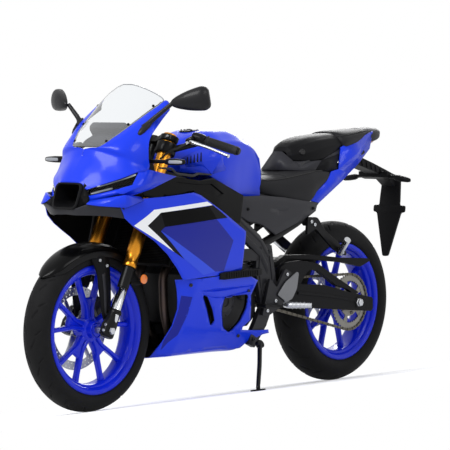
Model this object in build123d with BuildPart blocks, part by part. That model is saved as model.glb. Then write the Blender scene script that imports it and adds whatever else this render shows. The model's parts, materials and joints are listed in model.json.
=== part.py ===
from build123d import *
import math
import os

# Sport motorcycle, in mm. It is modelled upright, with x forward from the rear axle, y to the left
# and z up from the ground. The last section leans it on its side stand and moves its origin to the
# bottom centre of its bounding box.

# ------------------------------------------------------------------ driving dimensions
WHEELBASE = 1380.0
RAKE = 25.0
TRAIL = 95.0
LEAN = 9.0
STEER_LOCK = 30.0

FRONT_TYRE_R = 293.0
FRONT_TYRE_HALF_W = 55.0
REAR_TYRE_R = 314.0
REAR_TYRE_HALF_W = 70.0
TYRE_WALL = 9.0
RIM_FLANGE_R = 230.0
RIM_SEAT_R = 216.0
FRONT_RIM_HALF_W = 44.0
REAR_RIM_HALF_W = 57.0
SPOKE_PAIRS = 5
AXLE_R = 8.5
AXLE_FIT = 0.3

FORK_HALF_SPACING = 97.0
FORK_FORWARD = 30.0
FORK_OUTER_R = 26.0
FORK_INNER_R = 19.0
FORK_TOP_S = 1066.0
FORK_BOTTOM_S = 549.0
TOP_YOKE_S = 1048.0
LOW_YOKE_S = 828.0
YOKE_THICKNESS = 24.0
HEAD_TUBE_R = 30.0
STEM_R = 16.0
STEM_BORE_R = 9.0

FRONT_DISC_R = 149.0
REAR_DISC_R = 110.0
DISC_THICKNESS = 4.5
FRONT_DISC_Y = -55.0
REAR_DISC_Y = -86.0

CHAIN_PITCH = 15.875
REAR_TEETH = 43
FRONT_TEETH = 14
CHAIN_Y = 92.0
CHAIN_WIDTH = 15.0
CHAIN_HALF_HEIGHT = 6.5
CHAIN_GAP = 0.8
FRONT_SPROCKET_X = 645.0
FRONT_SPROCKET_Z = 395.0

PIVOT_X = 555.0
PIVOT_Z = 399.0
PIVOT_PLATE_Y = 118.0
PIVOT_PLATE_T = 26.0
SWINGARM_Y = 113.0
SWINGARM_T = 29.0
STAND_HOLE_R = 4.0
STAND_HOLE_DEPTH = 20.0
STAND_HOLE_X = 62.0

SKIN = 4.0
ENGINE_HALF_W = 112.0
SUMP_HALF_W = 84.0

SIDE_STAND_PIVOT = (632.0, 166.0, 196.0)
SIDE_STAND_FOOT = (798.0, 300.0, 0.0)
SIDE_STAND_R = 9.0

PLATE_HOLE_SPACING = 120.0
PLATE_HOLE_R = 3.25

# ------------------------------------------------------------------ frames of reference
RAKE_SIN = math.sin(math.radians(RAKE))
RAKE_COS = math.cos(math.radians(RAKE))
STEER_FOOT_X = WHEELBASE + TRAIL
STEER_AXIS = (-RAKE_SIN, 0, RAKE_COS)
STEER_FORWARD = (RAKE_COS, 0, RAKE_SIN)
AXLE_OFFSET = FRONT_TYRE_R * RAKE_SIN - TRAIL * RAKE_COS
AXLE_S = (FRONT_TYRE_R - AXLE_OFFSET * RAKE_SIN) / RAKE_COS

# The tables below are drawn for this wheelbase. Another wheelbase stretches what lies between the
# side stand and the radiator, and carries what lies ahead of it along with the steering.
DRAWN_WHEELBASE = 1380.0
STRETCH_START_X = 820.0
STRETCH_END_X = 1000.0


def fore(x):
    """Drawn x moved to where the present wheelbase puts it."""
    share = (x - STRETCH_START_X) / (STRETCH_END_X - STRETCH_START_X)
    return x + (WHEELBASE - DRAWN_WHEELBASE) * min(max(share, 0.0), 1.0)


def fored(points):
    """Points whose first value is a drawn x, moved by fore."""
    return [(fore(x), *rest) for x, *rest in points]


def on_steering(s, forward=0.0, left=0.0):
    """Point at height s along the steering axis, moved forward and left in its normal plane."""
    x = STEER_FOOT_X - s * RAKE_SIN + forward * RAKE_COS
    z = s * RAKE_COS + forward * RAKE_SIN
    return (x, left, z)


def steering_plane(s, forward=0.0, left=0.0):
    """Plane normal to the steering axis, its local x forward and its local y to the left."""
    return Plane(origin=on_steering(s, forward, left), x_dir=STEER_FORWARD, z_dir=STEER_AXIS)


def side_plane(y, x=0.0, z=0.0):
    """Plane of constant y, its local x forward and its local y up; it extrudes towards -y."""
    return Plane(origin=(x, y, z), x_dir=(1, 0, 0), z_dir=(0, -1, 0))


PIECES = {}


def keep(name, part):
    part.label = name
    PIECES[name] = part


def mirrored(part):
    return mirror(part, about=Plane.XZ)


# ------------------------------------------------------------------ shared makers
def slab(outline, y_low, y_high):
    """Side-view outline of (x, z) points, extruded from y_low to y_high."""
    with BuildPart() as made:
        with BuildSketch(side_plane(y_high)):
            Polygon(*fored(outline), align=None)
        extrude(amount=y_high - y_low)
    return made.part


def inner_edge(outer, wall):
    """The outer (y, z) points, from the top down, moved in by the wall along their normals."""
    inner = []
    for index, point in enumerate(outer):
        before = outer[max(index - 1, 0)]
        after = outer[min(index + 1, len(outer) - 1)]
        along_y = after[0] - before[0]
        along_z = after[1] - before[1]
        length = math.hypot(along_y, along_z)
        inner.append((point[0] + wall * along_z / length, point[1] - wall * along_y / length))
    return inner


def skin_strip(rows, wall=SKIN):
    """Thin ruled shell. A row is x, then the outer (y, z) points from the top edge down."""
    with BuildPart() as made:
        for x, *outer in rows:
            with BuildSketch(Plane.YZ.offset(fore(x))):
                Polygon(*outer, *reversed(inner_edge(outer, wall)), align=None)
        loft(ruled=True)
    return made.part


def ring_loft(rows):
    """Closed ruled body. A row is x, then the (y, z) points of the left half, from the top down."""
    with BuildPart() as made:
        for x, *half in rows:
            right = [(-y, z) for y, z in reversed(half)]
            with BuildSketch(Plane.YZ.offset(fore(x))):
                Polygon(*half, *right, align=None)
        loft(ruled=True)
    return made.part


def beam(rows):
    """Ruled bar of rectangles. A row is x, y, z, width across and height."""
    points = [Vector(fore(x), y, z) for x, y, z, _, _ in rows]
    with BuildPart() as made:
        for index, (_, _, _, width, height) in enumerate(rows):
            before = points[max(index - 1, 0)]
            after = points[min(index + 1, len(points) - 1)]
            along = (after - before).normalized()
            across = Vector(0, 0, 1).cross(along).normalized()
            with BuildSketch(Plane(origin=points[index], x_dir=across, z_dir=along)):
                Rectangle(width, height)
        loft(ruled=True)
    return made.part


def rod(start, end, radius, end_radius=None):
    """Round bar between two points, tapered when end_radius is given."""
    a, b = (Vector(*point) for point in fored([start, end]))
    with BuildPart() as made:
        if end_radius is None:
            with BuildSketch(Plane(origin=a, z_dir=(b - a).normalized())):
                Circle(radius)
            extrude(amount=(b - a).length)
        else:
            with BuildSketch(Plane(origin=a, z_dir=(b - a).normalized())):
                Circle(radius)
            with BuildSketch(Plane(origin=b, z_dir=(b - a).normalized())):
                Circle(end_radius)
            loft(ruled=True)
    return made.part


def pipe(points, radius, corner):
    """Round bar along a polyline with its corners rounded to the radius given."""
    with BuildPart() as made:
        with BuildLine() as path:
            FilletPolyline(*fored(points), radius=corner)
        with BuildSketch(Plane(origin=path.line @ 0, z_dir=path.line % 0)):
            Circle(radius)
        sweep()
    return made.part


def cross_rod(x, z, radius, y_low, y_high):
    """Round bar along y at (x, z)."""
    return rod((x, y_low, z), (x, y_high, z), radius)


# ------------------------------------------------------------------ wheels
def tyre(axle_x, radius, half_width, rim_half_width):
    """Hollow ring: crown arc, two flanks and beads on the rim."""
    shoulder_r = radius - half_width * 0.82
    bead_r = RIM_SEAT_R + AXLE_FIT
    bead_y = rim_half_width - AXLE_FIT
    with BuildPart() as made:
        with BuildSketch(Plane.YZ.offset(axle_x)) as section:
            with BuildLine():
                crown = ThreePointArc(
                    (-half_width, radius + shoulder_r),
                    (0, 2 * radius),
                    (half_width, radius + shoulder_r),
                )
                Polyline(
                    crown @ 1,
                    (bead_y, radius + RIM_FLANGE_R + 2),
                    (bead_y, radius + bead_r),
                    (-bead_y, radius + bead_r),
                    (-bead_y, radius + RIM_FLANGE_R + 2),
                    crown @ 0,
                )
            make_face()
            with BuildLine():
                hollow = ThreePointArc(
                    (-half_width + TYRE_WALL, radius + shoulder_r),
                    (0, 2 * radius - TYRE_WALL),
                    (half_width - TYRE_WALL, radius + shoulder_r),
                )
                Polyline(
                    hollow @ 1,
                    (rim_half_width - TYRE_WALL, radius + bead_r + 4),
                    (-rim_half_width + TYRE_WALL, radius + bead_r + 4),
                    hollow @ 0,
                )
            make_face(mode=Mode.SUBTRACT)
        revolve(axis=Axis((axle_x, 0, radius), (0, 1, 0)))
    return made.part


def rim(axle_x, axle_z, half_width, hub_half, hub_r):
    """Flanged barrel, hub and forked spokes."""
    barrel = [
        (-half_width - 4, RIM_FLANGE_R),
        (-half_width - 4, RIM_SEAT_R - 10),
        (-half_width + 12, RIM_SEAT_R - 20),
        (half_width - 12, RIM_SEAT_R - 20),
        (half_width + 4, RIM_SEAT_R - 10),
        (half_width + 4, RIM_FLANGE_R),
        (half_width, RIM_FLANGE_R),
        (half_width, RIM_SEAT_R),
        (-half_width, RIM_SEAT_R),
        (-half_width, RIM_FLANGE_R),
    ]
    with BuildPart() as made:
        with BuildSketch(Plane.YZ.offset(axle_x)):
            with Locations((0, axle_z)):
                Polygon(*barrel, align=None)
        revolve(axis=Axis((axle_x, 0, axle_z), (0, 1, 0)))
        with BuildSketch(side_plane(hub_half, axle_x, axle_z)):
            Circle(hub_r)
        extrude(amount=2 * hub_half)
        spoke_plane = side_plane(14, axle_x, axle_z)
        with BuildSketch(spoke_plane):
            with PolarLocations(0, SPOKE_PAIRS, start_angle=18):
                for lean in (-1, 1):
                    Polygon(
                        (hub_r - 8, lean * 14 - 9),
                        (hub_r - 8, lean * 14 + 9),
                        (RIM_SEAT_R - 15, lean * 60 + 8),
                        (RIM_SEAT_R - 15, lean * 60 - 8),
                        align=None,
                    )
        extrude(amount=28)
        with BuildSketch(side_plane(hub_half + 1, axle_x, axle_z)):
            Circle(AXLE_R + AXLE_FIT)
        extrude(amount=2 * hub_half + 2, mode=Mode.SUBTRACT)
    return made.part


def brake_disc(axle_x, axle_z, y, radius, bore, hub_y, hub_r):
    """Ring, four arms and the carrier flange that seats on the hub face."""
    with BuildPart() as made:
        with BuildSketch(side_plane(y + DISC_THICKNESS / 2, axle_x, axle_z)):
            Circle(radius)
            Circle(radius - 34, mode=Mode.SUBTRACT)
            with PolarLocations(0, 6):
                Rectangle(radius - 30, 16, align=(Align.MIN, Align.CENTER))
            Circle(bore + 14)
            Circle(bore, mode=Mode.SUBTRACT)
        extrude(amount=DISC_THICKNESS)
        if abs(hub_y - y) > DISC_THICKNESS / 2:
            low = min(hub_y, y)
            high = max(hub_y, y)
            with BuildSketch(side_plane(high, axle_x, axle_z)):
                Circle(hub_r)
                Circle(bore, mode=Mode.SUBTRACT)
            extrude(amount=high - low)
    return made.part


FRONT_HUB_HALF = 46.0
REAR_HUB_HALF = 74.0
HUB_R = 30.0
keep("front_tyre", tyre(WHEELBASE, FRONT_TYRE_R, FRONT_TYRE_HALF_W, FRONT_RIM_HALF_W))
keep("rear_tyre", tyre(0.0, REAR_TYRE_R, REAR_TYRE_HALF_W, REAR_RIM_HALF_W))
keep("front_rim", rim(WHEELBASE, FRONT_TYRE_R, FRONT_RIM_HALF_W, FRONT_HUB_HALF, HUB_R))
keep("rear_rim", rim(0.0, REAR_TYRE_R, REAR_RIM_HALF_W, REAR_HUB_HALF, HUB_R + 6))
keep(
    "front_brake_disc",
    brake_disc(WHEELBASE, FRONT_TYRE_R, FRONT_DISC_Y, FRONT_DISC_R, HUB_R - 10, -FRONT_HUB_HALF, HUB_R),
)
keep(
    "rear_brake_disc",
    brake_disc(0.0, REAR_TYRE_R, REAR_DISC_Y, REAR_DISC_R, HUB_R - 10, -REAR_HUB_HALF, HUB_R),
)

# ------------------------------------------------------------------ final drive
REAR_PITCH_R = CHAIN_PITCH / (2 * math.sin(math.pi / REAR_TEETH))
FRONT_PITCH_R = CHAIN_PITCH / (2 * math.sin(math.pi / FRONT_TEETH))

with BuildPart() as rear_sprocket:
    with BuildSketch(side_plane(CHAIN_Y + 3, 0, REAR_TYRE_R)):
        Circle(REAR_PITCH_R - CHAIN_HALF_HEIGHT - CHAIN_GAP)
        Circle(REAR_PITCH_R - 32, mode=Mode.SUBTRACT)
        with PolarLocations(0, 5):
            Rectangle(REAR_PITCH_R - 28, 22, align=(Align.MIN, Align.CENTER))
        Circle(HUB_R + 12)
        Circle(HUB_R - 10, mode=Mode.SUBTRACT)
    extrude(amount=6)
    with BuildSketch(side_plane(CHAIN_Y, 0, REAR_TYRE_R)):
        Circle(HUB_R + 10)
        Circle(HUB_R - 10, mode=Mode.SUBTRACT)
    extrude(amount=CHAIN_Y - REAR_HUB_HALF)
keep("rear_sprocket", rear_sprocket.part)


def chain_loop(swell):
    """Band round both sprockets, swollen from the pitch line by the amount given."""
    with BuildPart() as made:
        with BuildSketch(side_plane(CHAIN_Y + CHAIN_WIDTH / 2)):
            with Locations((0, REAR_TYRE_R)):
                Circle(REAR_PITCH_R + swell)
            with Locations((FRONT_SPROCKET_X, FRONT_SPROCKET_Z)):
                Circle(FRONT_PITCH_R + swell)
            make_hull()
        extrude(amount=CHAIN_WIDTH)
    return made.part


with BuildPart() as drive_chain:
    add(chain_loop(CHAIN_HALF_HEIGHT))
    add(chain_loop(-CHAIN_HALF_HEIGHT), mode=Mode.SUBTRACT)
keep("drive_chain", drive_chain.part)

# ------------------------------------------------------------------ engine
CRANKCASE = [
    (592, 300), (640, 262), (900, 262), (975, 290), (985, 380), (1000, 470), (985, 495),
    (640, 495), (598, 455),
]
CYLINDERS = [(840, 480), (985, 480), (1030, 610), (1000, 650), (880, 665), (850, 620)]
SUMP = [(650, 240), (930, 240), (960, 300), (930, 330), (650, 330)]
with BuildPart() as engine_block:
    add(slab(CRANKCASE, -ENGINE_HALF_W, CHAIN_Y - CHAIN_WIDTH / 2 - 8))
    add(slab([(700, 300), (970, 300), (985, 380), (985, 480), (700, 480)], 0, ENGINE_HALF_W))
    add(slab(CYLINDERS, -ENGINE_HALF_W + 8, ENGINE_HALF_W - 8))
    add(slab(SUMP, -SUMP_HALF_W, SUMP_HALF_W))
    add(
        cross_rod(
            FRONT_SPROCKET_X, FRONT_SPROCKET_Z, FRONT_PITCH_R - CHAIN_HALF_HEIGHT - 0.2,
            CHAIN_Y - CHAIN_WIDTH / 2 - 9, CHAIN_Y + 4,
        )
    )
keep("engine_block", engine_block.part)

# Columns: centre x, centre z, radius, y at the block, y outside
ENGINE_COVER_LEFT = (800.0, 366.0, 66.0, ENGINE_HALF_W, 142.0)
ENGINE_COVER_RIGHT = (790.0, 374.0, 72.0, ENGINE_HALF_W, 144.0)


def engine_cover(row, side):
    x, z, radius, seat, outside = row
    with BuildPart() as made:
        with BuildSketch(side_plane(outside, fore(x), z)):
            Circle(radius)
        extrude(amount=outside - seat)
        chamfer(made.edges().group_by(Axis.Y)[-1], 10)
    return made.part if side > 0 else mirrored(made.part)


with BuildPart() as engine_covers:
    add(engine_cover(ENGINE_COVER_LEFT, 1))
    add(engine_cover(ENGINE_COVER_RIGHT, -1))
keep("engine_covers", engine_covers.part)

# ------------------------------------------------------------------ exhaust
HEADER_R = 17.0
HEADER_DROP = [(1008, 60, 520), (1052, 60, 470), (1046, 60, 330), (985, 40, 218), (760, 20, 214)]
COLLECTOR = [(775, 0, 214), (620, -40, 220), (530, -100, 236), (450, -196, 262), (415, -205, 279)]
with BuildPart() as exhaust_headers:
    add(pipe(HEADER_DROP, HEADER_R, 26))
    mirror(about=Plane.XZ)
    add(pipe(COLLECTOR, HEADER_R + 3, 40))
keep("exhaust_headers", exhaust_headers.part)

SILENCER_AXIS = [(424, -205, 277), (395, -205, 290), (340, -207, 318), (60, -212, 425), (28, -212, 437)]
SILENCER_SIZE = [(50, 50), (70, 80), (96, 120), (96, 120), (60, 84)]
with BuildPart() as silencer:
    for (sx, sy, sz), (across, tall) in zip(SILENCER_AXIS, SILENCER_SIZE):
        with BuildSketch(Plane(origin=(sx, sy, sz), x_dir=(0, 1, 0), z_dir=(-0.934, 0, 0.357))):
            RectangleRounded(across, tall, min(across, tall) * 0.42)
    loft(ruled=True)
keep("silencer", silencer.part)

# ------------------------------------------------------------------ side stand lines
LEAN_TAN = math.tan(math.radians(LEAN))
STAND_TOP = Vector(*SIDE_STAND_PIVOT)
STAND_FOOT = Vector(SIDE_STAND_FOOT[0], SIDE_STAND_FOOT[1], SIDE_STAND_FOOT[1] * LEAN_TAN)
STAND_PAD_T = 6.0
GROUND_UP = Vector(0, -math.sin(math.radians(LEAN)), math.cos(math.radians(LEAN)))
STAND_LEG_END = STAND_FOOT + GROUND_UP * (STAND_PAD_T + SIDE_STAND_R)
STAND_FOLDED = Vector(-0.983, 0.085, 0.16).normalized()
STAND_DOWN = (STAND_LEG_END - STAND_TOP).normalized()
# the hinge axis keeps the same angle to the leg when it is down and when it is folded
STAND_SPREAD = (STAND_DOWN - STAND_FOLDED).normalized()
STAND_AXIS = Vector(0, -STAND_SPREAD.Z, STAND_SPREAD.Y).normalized()
STAND_BOSS_HALF = 9.0
STAND_GAP = 0.4

# ------------------------------------------------------------------ frame
# Columns: x, y, z, width across, height
SPAR = [
    (1104, 26, 822, 40, 72), (1046, 38, 812, 40, 80), (985, 102, 780, 34, 84), (900, 134, 736, 30, 80),
    (800, 142, 690, 28, 78),
    (600, 132, 560, 26, 80), (556, 131, 500, 26, 96),
]
PIVOT_PLATE = [
    (530, 560), (612, 572), (622, 470), (590, 330), (648, 240), (660, 196), (628, 182), (560, 260),
    (512, 350), (505, 430),
]
with BuildPart() as frame:
    with BuildSketch(steering_plane(LOW_YOKE_S + YOKE_THICKNESS / 2 + 2)):
        Circle(HEAD_TUBE_R)
    extrude(amount=TOP_YOKE_S - LOW_YOKE_S - YOKE_THICKNESS - 4)
    add(beam(SPAR))
    # saddles under the tank and stays that the panels hang on
    add(slab([(690, 680), (736, 680), (728, 752), (700, 752)], 126, 138))
    add(rod((900, 136, 736), (900, 192, 754), 6))
    add(rod((810, 136, 670), (788, 222, 624), 6))
    mirror(about=Plane.XZ)
    add(slab([(1116, 784), (1124, 860), (1030, 850), (1045, 784)], -34, 34))
    with BuildSketch(steering_plane(LOW_YOKE_S - 10)):
        Circle(STEM_R + 1)
    extrude(amount=TOP_YOKE_S - LOW_YOKE_S + 20, mode=Mode.SUBTRACT)
keep("frame", frame.part)

PLATE_OUTSIDE = PIVOT_PLATE_Y + PIVOT_PLATE_T
with BuildPart() as pivot_plates:
    add(slab(PIVOT_PLATE, PIVOT_PLATE_Y, PLATE_OUTSIDE))
    add(cross_rod(630, 238, 6, PIVOT_PLATE_Y + 4, PLATE_OUTSIDE + 16))
    mirror(about=Plane.XZ)
    add(cross_rod(556, 545, 18, -PIVOT_PLATE_Y - 2, PIVOT_PLATE_Y + 2))
    add(cross_rod(606, 262, 12, -PIVOT_PLATE_Y - 2, PIVOT_PLATE_Y + 2))
    add(cross_rod(PIVOT_X, PIVOT_Z, 12, -PLATE_OUTSIDE, PLATE_OUTSIDE))
    # boss that the side stand turns on
    add(
        rod(
            tuple(STAND_TOP - STAND_AXIS * 38),
            tuple(STAND_TOP - STAND_AXIS * (STAND_BOSS_HALF + STAND_GAP)),
            14,
        )
    )
keep("pivot_plates", pivot_plates.part)

# stay that carries the nose, the instruments and the mirrors
with BuildPart() as front_stay:
    add(pipe([(1112, 0, 824), (1240, 0, 880), (1330, 0, 890)], 14, 60))
    add(cross_rod(1262, 900, 9, -182, 182))
keep("front_stay", front_stay.part)

SUBFRAME_LOW = [(575, 118, 560), (323, 112, 648), (100, 92, 800), (-120, 62, 900)]
SUBFRAME_HIGH = [(590, 118, 640), (420, 100, 712), (180, 92, 800), (60, 84, 850), (-120, 62, 900)]
with BuildPart() as subframe:
    add(pipe(SUBFRAME_LOW, 12, 120))
    add(pipe(SUBFRAME_HIGH, 12, 120))
    mirror(about=Plane.XZ)
    add(cross_rod(300, 656, 10, -112, 112))
    add(cross_rod(-110, 897, 12, -66, 66))
    add(cross_rod(350, 738, 10, -100, 100))
keep("subframe", subframe.part)

# ------------------------------------------------------------------ swingarm and shock
ARM = [
    (-92, 284), (-80, 275), (406, 322), (440, 340), (430, 402), (362, 404), (60, 350), (-84, 338),
    (-92, 326),
]
EAR = [(400, 340), (575, 376), (582, 399), (572, 420), (540, 424), (420, 398), (400, 390)]
with BuildPart() as swingarm:
    add(slab(ARM, SWINGARM_Y, SWINGARM_Y + SWINGARM_T))
    add(slab(EAR, 52, 80))
    mirror(about=Plane.XZ)
    add(slab([(345, 338), (425, 338), (425, 396), (350, 392)], -SWINGARM_Y - 2, SWINGARM_Y + 2))
    add(cross_rod(PIVOT_X, PIVOT_Z, 21, -104, 104))
    with BuildSketch(side_plane(110, PIVOT_X, PIVOT_Z)):
        Circle(12 + AXLE_FIT)
    extrude(amount=220, mode=Mode.SUBTRACT)
    with BuildSketch(side_plane(160, 0, REAR_TYRE_R)):
        Circle(AXLE_R + AXLE_FIT)
    extrude(amount=320, mode=Mode.SUBTRACT)
    for side in (-1, 1):
        outer = side * (SWINGARM_Y + SWINGARM_T)
        with BuildSketch(
            Plane(origin=(-STAND_HOLE_X, outer, REAR_TYRE_R - 12), z_dir=(0, -side, 0))
        ):
            Circle(STAND_HOLE_R)
        extrude(amount=STAND_HOLE_DEPTH, mode=Mode.SUBTRACT)
keep("swingarm", swingarm.part)

with BuildPart() as rear_axle:
    add(cross_rod(0, REAR_TYRE_R, AXLE_R, -150, 150))
    add(cross_rod(0, REAR_TYRE_R, 15, 142.0, 156.0))
    add(cross_rod(0, REAR_TYRE_R, 15, -156.0, -142.0))
keep("rear_axle", rear_axle.part)

with BuildPart() as shock:
    add(rod((416, 0, 392), (470, 0, 448), 12))
    add(rod((446, 0, 424), (516, 0, 502), 28))
    add(rod((506, 0, 492), (548, 0, 538), 20))
keep("shock_absorber", shock.part)

# ------------------------------------------------------------------ fuel tank and seats
# Columns: x, then (y, z) of the ridge, shoulder, flank and foot of the left half
TANK = [
    (988, (34, 914), (82, 892), (102, 872), (96, 846)),
    (930, (54, 956), (110, 922), (150, 876), (156, 832)),
    (850, (78, 984), (140, 946), (168, 885), (166, 800)),
    (776, (82, 989), (138, 950), (162, 885), (156, 768)),
    (700, (78, 986), (130, 944), (146, 880), (138, 745)),
    (615, (70, 950), (118, 922), (122, 868), (114, 732)),
    (548, (56, 922), (96, 880), (106, 820), (104, 728)),
]

TANK_WALL = 6.0
TANK_FLOOR = 5.0
with BuildPart() as fuel_tank:
    add(ring_loft(TANK))
    add(cross_rod(600, 735, 8, -114, 114))
    cavity = []
    for x, *roof, foot in TANK:
        inside = [(y - TANK_WALL, z - TANK_WALL) for y, z in roof]
        cavity.append((x, *inside, (foot[0] - TANK_WALL, foot[1] + TANK_FLOOR)))
    cavity[0] = (cavity[0][0] - TANK_WALL, *cavity[0][1:])
    cavity[-1] = (cavity[-1][0] + TANK_WALL, *cavity[-1][1:])
    add(ring_loft(cavity), mode=Mode.SUBTRACT)
keep("fuel_tank", fuel_tank.part)

RIDER_SEAT = [
    (545, (60, 816), (98, 806), (108, 780), (100, 758)),
    (470, (66, 792), (108, 784), (122, 762), (112, 738)),
    (390, (76, 798), (118, 788), (134, 752), (122, 722)),
    (320, (78, 838), (114, 822), (130, 758), (120, 722)),
    (276, (70, 862), (100, 850), (118, 780), (112, 742)),
]
keep("rider_seat", ring_loft(RIDER_SEAT))

PILLION_SEAT = [
    (268, (50, 926), (84, 915), (96, 900), (84, 872)),
    (200, (60, 952), (92, 940), (108, 918), (96, 888)),
    (90, (58, 974), (90, 962), (104, 940), (92, 912)),
    (-60, (46, 984), (74, 974), (86, 958), (78, 934)),
    (-178, (24, 990), (44, 984), (54, 972), (46, 952)),
]
keep("pillion_seat", ring_loft(PILLION_SEAT))

# ------------------------------------------------------------------ tail
TAIL_WING = [
    (-196, 978), (-154, 975), (55, 922), (140, 842), (223, 709), (124, 785), (77, 834), (-21, 887),
    (-141, 911),
]
UNDERTRAY = [
    (300, (60, 866), (84, 860), (86, 820), (60, 806)),
    (100, (60, 906), (80, 900), (84, 862), (56, 846)),
    (-60, (52, 930), (66, 924), (70, 896), (48, 880)),
    (-160, (36, 948), (46, 942), (50, 912), (40, 890)),
]
keep("tail_undertray", ring_loft(UNDERTRAY))
with BuildPart() as tail_cowl:
    wing = skin_strip(
        [
            (230, (112, 1010), (118, 860), (124, 690)),
            (60, (96, 1010), (102, 900), (106, 690)),
            (-200, (60, 1010), (66, 930), (66, 690)),
        ],
        wall=6,
    )
    add(wing)
    add(slab(TAIL_WING, 20, 150), mode=Mode.INTERSECT)
    mirror(about=Plane.XZ)
    add(slab([(-150, 950), (-196, 950), (-240, 984), (-180, 998), (-150, 994)], -62, 62))
keep("tail_cowl", tail_cowl.part)


# ------------------------------------------------------------------ nose and screen
# Columns: x, then the outer (y, z) points of the left half, from the centre or screen edge down
NOSE = [
    (1480, (0, 815), (40, 812), (72, 806), (92, 796), (98, 786)),
    (1440, (0, 874), (58, 864), (108, 836), (132, 816), (142, 798)),
    (1394, (0, 928), (70, 915), (132, 874), (158, 842), (168, 812)),
    (1340, (84, 948), (114, 945), (164, 905), (184, 864), (190, 814)),
    (1271, (112, 985), (140, 986), (174, 955), (190, 912), (193, 860)),
    (1262, (116, 990), (142, 992), (174, 962), (190, 940), (193, 905)),
    (1200, (138, 1036), (150, 1042), (165, 1036), (173, 1026), (178, 1010)),
    (1136, (156, 1066), (161, 1069), (166, 1066), (168, 1060), (169, 1054)),
]
with BuildPart() as upper_cowl:
    add(skin_strip(NOSE))
    mirror(about=Plane.XZ)
keep("upper_cowl", upper_cowl.part)

# Columns: z, edge x, edge y, centre x
SCREEN = [
    (931, 1352, 60, 1391), (962, 1318, 92, 1374), (1000, 1268, 116, 1350), (1050, 1205, 138, 1312),
    (1104, 1146, 148, 1262), (1138, 1134, 104, 1222), (1158, 1158, 50, 1190),
]
SCREEN_T = 4.0
SCREEN_MID = 0.62
with BuildPart() as windscreen:
    for z, edge_x, edge_y, centre_x in SCREEN:
        mid_x = (edge_x + 2 * centre_x) / 3
        mid_y = edge_y * SCREEN_MID
        front = [(edge_x, -edge_y), (mid_x, -mid_y), (centre_x, 0), (mid_x, mid_y), (edge_x, edge_y)]
        back = [(x - SCREEN_T, y) for x, y in reversed(front)]
        with BuildSketch(Plane.XY.offset(z)):
            Polygon(*fored(front + back), align=None)
    loft(ruled=True)
keep("windscreen", windscreen.part)

# Columns: x, then (y, z) of the left half
INTAKE = [
    (1488, (60, 802), (92, 760), (84, 716), (50, 700)),
    (1420, (66, 806), (110, 768), (92, 716), (50, 704)),
    (1340, (60, 806), (96, 780), (84, 724), (50, 716)),
]
with BuildPart() as intake_duct:
    add(ring_loft(INTAKE))
    with BuildSketch(Plane.YZ.offset(fore(1500))):
        Polygon((-56, 792), (56, 792), (78, 760), (70, 724), (-70, 724), (-78, 760), align=None)
    extrude(amount=-100, mode=Mode.SUBTRACT)
    add(slab([(1490, 715), (1488, 702), (1380, 716), (1380, 730)], 78, 150))
    add(slab([(1490, 715), (1488, 702), (1380, 716), (1380, 730)], -150, -78))
    add(slab([(1360, 800), (1360, 806), (1320, 905), (1300, 905)], -20, 20))
keep("intake_duct", intake_duct.part)

# Columns: x, then (y, z): outer top, outer bottom, inner bottom, inner top
HEADLAMP = [
    (1474, (98, 786), (96, 768), (93, 766), (92, 786)),
    (1420, (146, 800), (144, 780), (112, 778), (108, 798)),
    (1350, (186, 812), (184, 796), (150, 792), (150, 818)),
]
with BuildPart() as headlamp:
    for x, *points in HEADLAMP:
        with BuildSketch(Plane.YZ.offset(fore(x))):
            Polygon(*points, align=None)
    loft(ruled=True)
    mirror(about=Plane.XZ)
keep("headlamps", headlamp.part)

INNER_COWL = [(1268, 858), (1268, 956), (1240, 956), (1206, 850), (1150, 836), (1150, 806), (1300, 806)]
with BuildPart() as cockpit_panel:
    add(slab(INNER_COWL, 160, 166))
    mirror(about=Plane.XZ)
    add(slab([(1262, 912), (1278, 912), (1278, 930), (1262, 930)], -164, 164))
    add(slab([(1270, 894), (1300, 894), (1290, 930), (1262, 930)], -50, 50))
keep("cockpit_panel", cockpit_panel.part)

with BuildPart() as instruments:
    with BuildSketch(Plane(origin=(fore(1262), 0, 972), x_dir=(0, 1, 0), z_dir=(-0.8, 0, 0.6))):
        RectangleRounded(170, 92, 14)
    extrude(amount=26, both=False)
    add(slab([(1262, 925), (1275, 925), (1275, 985), (1255, 985)], -20, 20))
keep("instrument_panel", instruments.part)

# ------------------------------------------------------------------ side and lower fairing
SIDE_OUTLINE = [
    (1029, 766), (1180, 742), (1319, 750), (1381, 781), (1417, 711), (1392, 675), (1334, 642),
    (1271, 596), (1216, 555), (1177, 524), (1148, 490), (1119, 466), (906, 466), (795, 488), (771, 621),
]
# Columns: x, then the outer (y, z) points from the top down
SIDE_SKIN = [
    (1430, (150, 820), (176, 760), (183, 700), (179, 640), (171, 580), (158, 440)),
    (1300, (178, 820), (196, 760), (206, 700), (204, 640), (192, 560), (178, 440)),
    (1180, (184, 820), (202, 760), (216, 690), (216, 620), (206, 540), (194, 440)),
    (1020, (186, 820), (204, 766), (222, 690), (222, 620), (216, 540), (206, 440)),
    (740, (184, 820), (200, 766), (214, 690), (216, 620), (208, 540), (196, 440)),
]
with BuildPart() as side_fairing:
    add(skin_strip(SIDE_SKIN, wall=6))
    add(slab(SIDE_OUTLINE, 100, 260), mode=Mode.INTERSECT)
keep("side_fairing_left", side_fairing.part)
keep("side_fairing_right", mirrored(side_fairing.part))

DUCT_OUTLINE = [
    (1262, 850), (1147, 833), (990, 812), (915, 822), (739, 752), (775, 640), (1029, 778), (1180, 754),
    (1290, 760),
]
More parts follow.
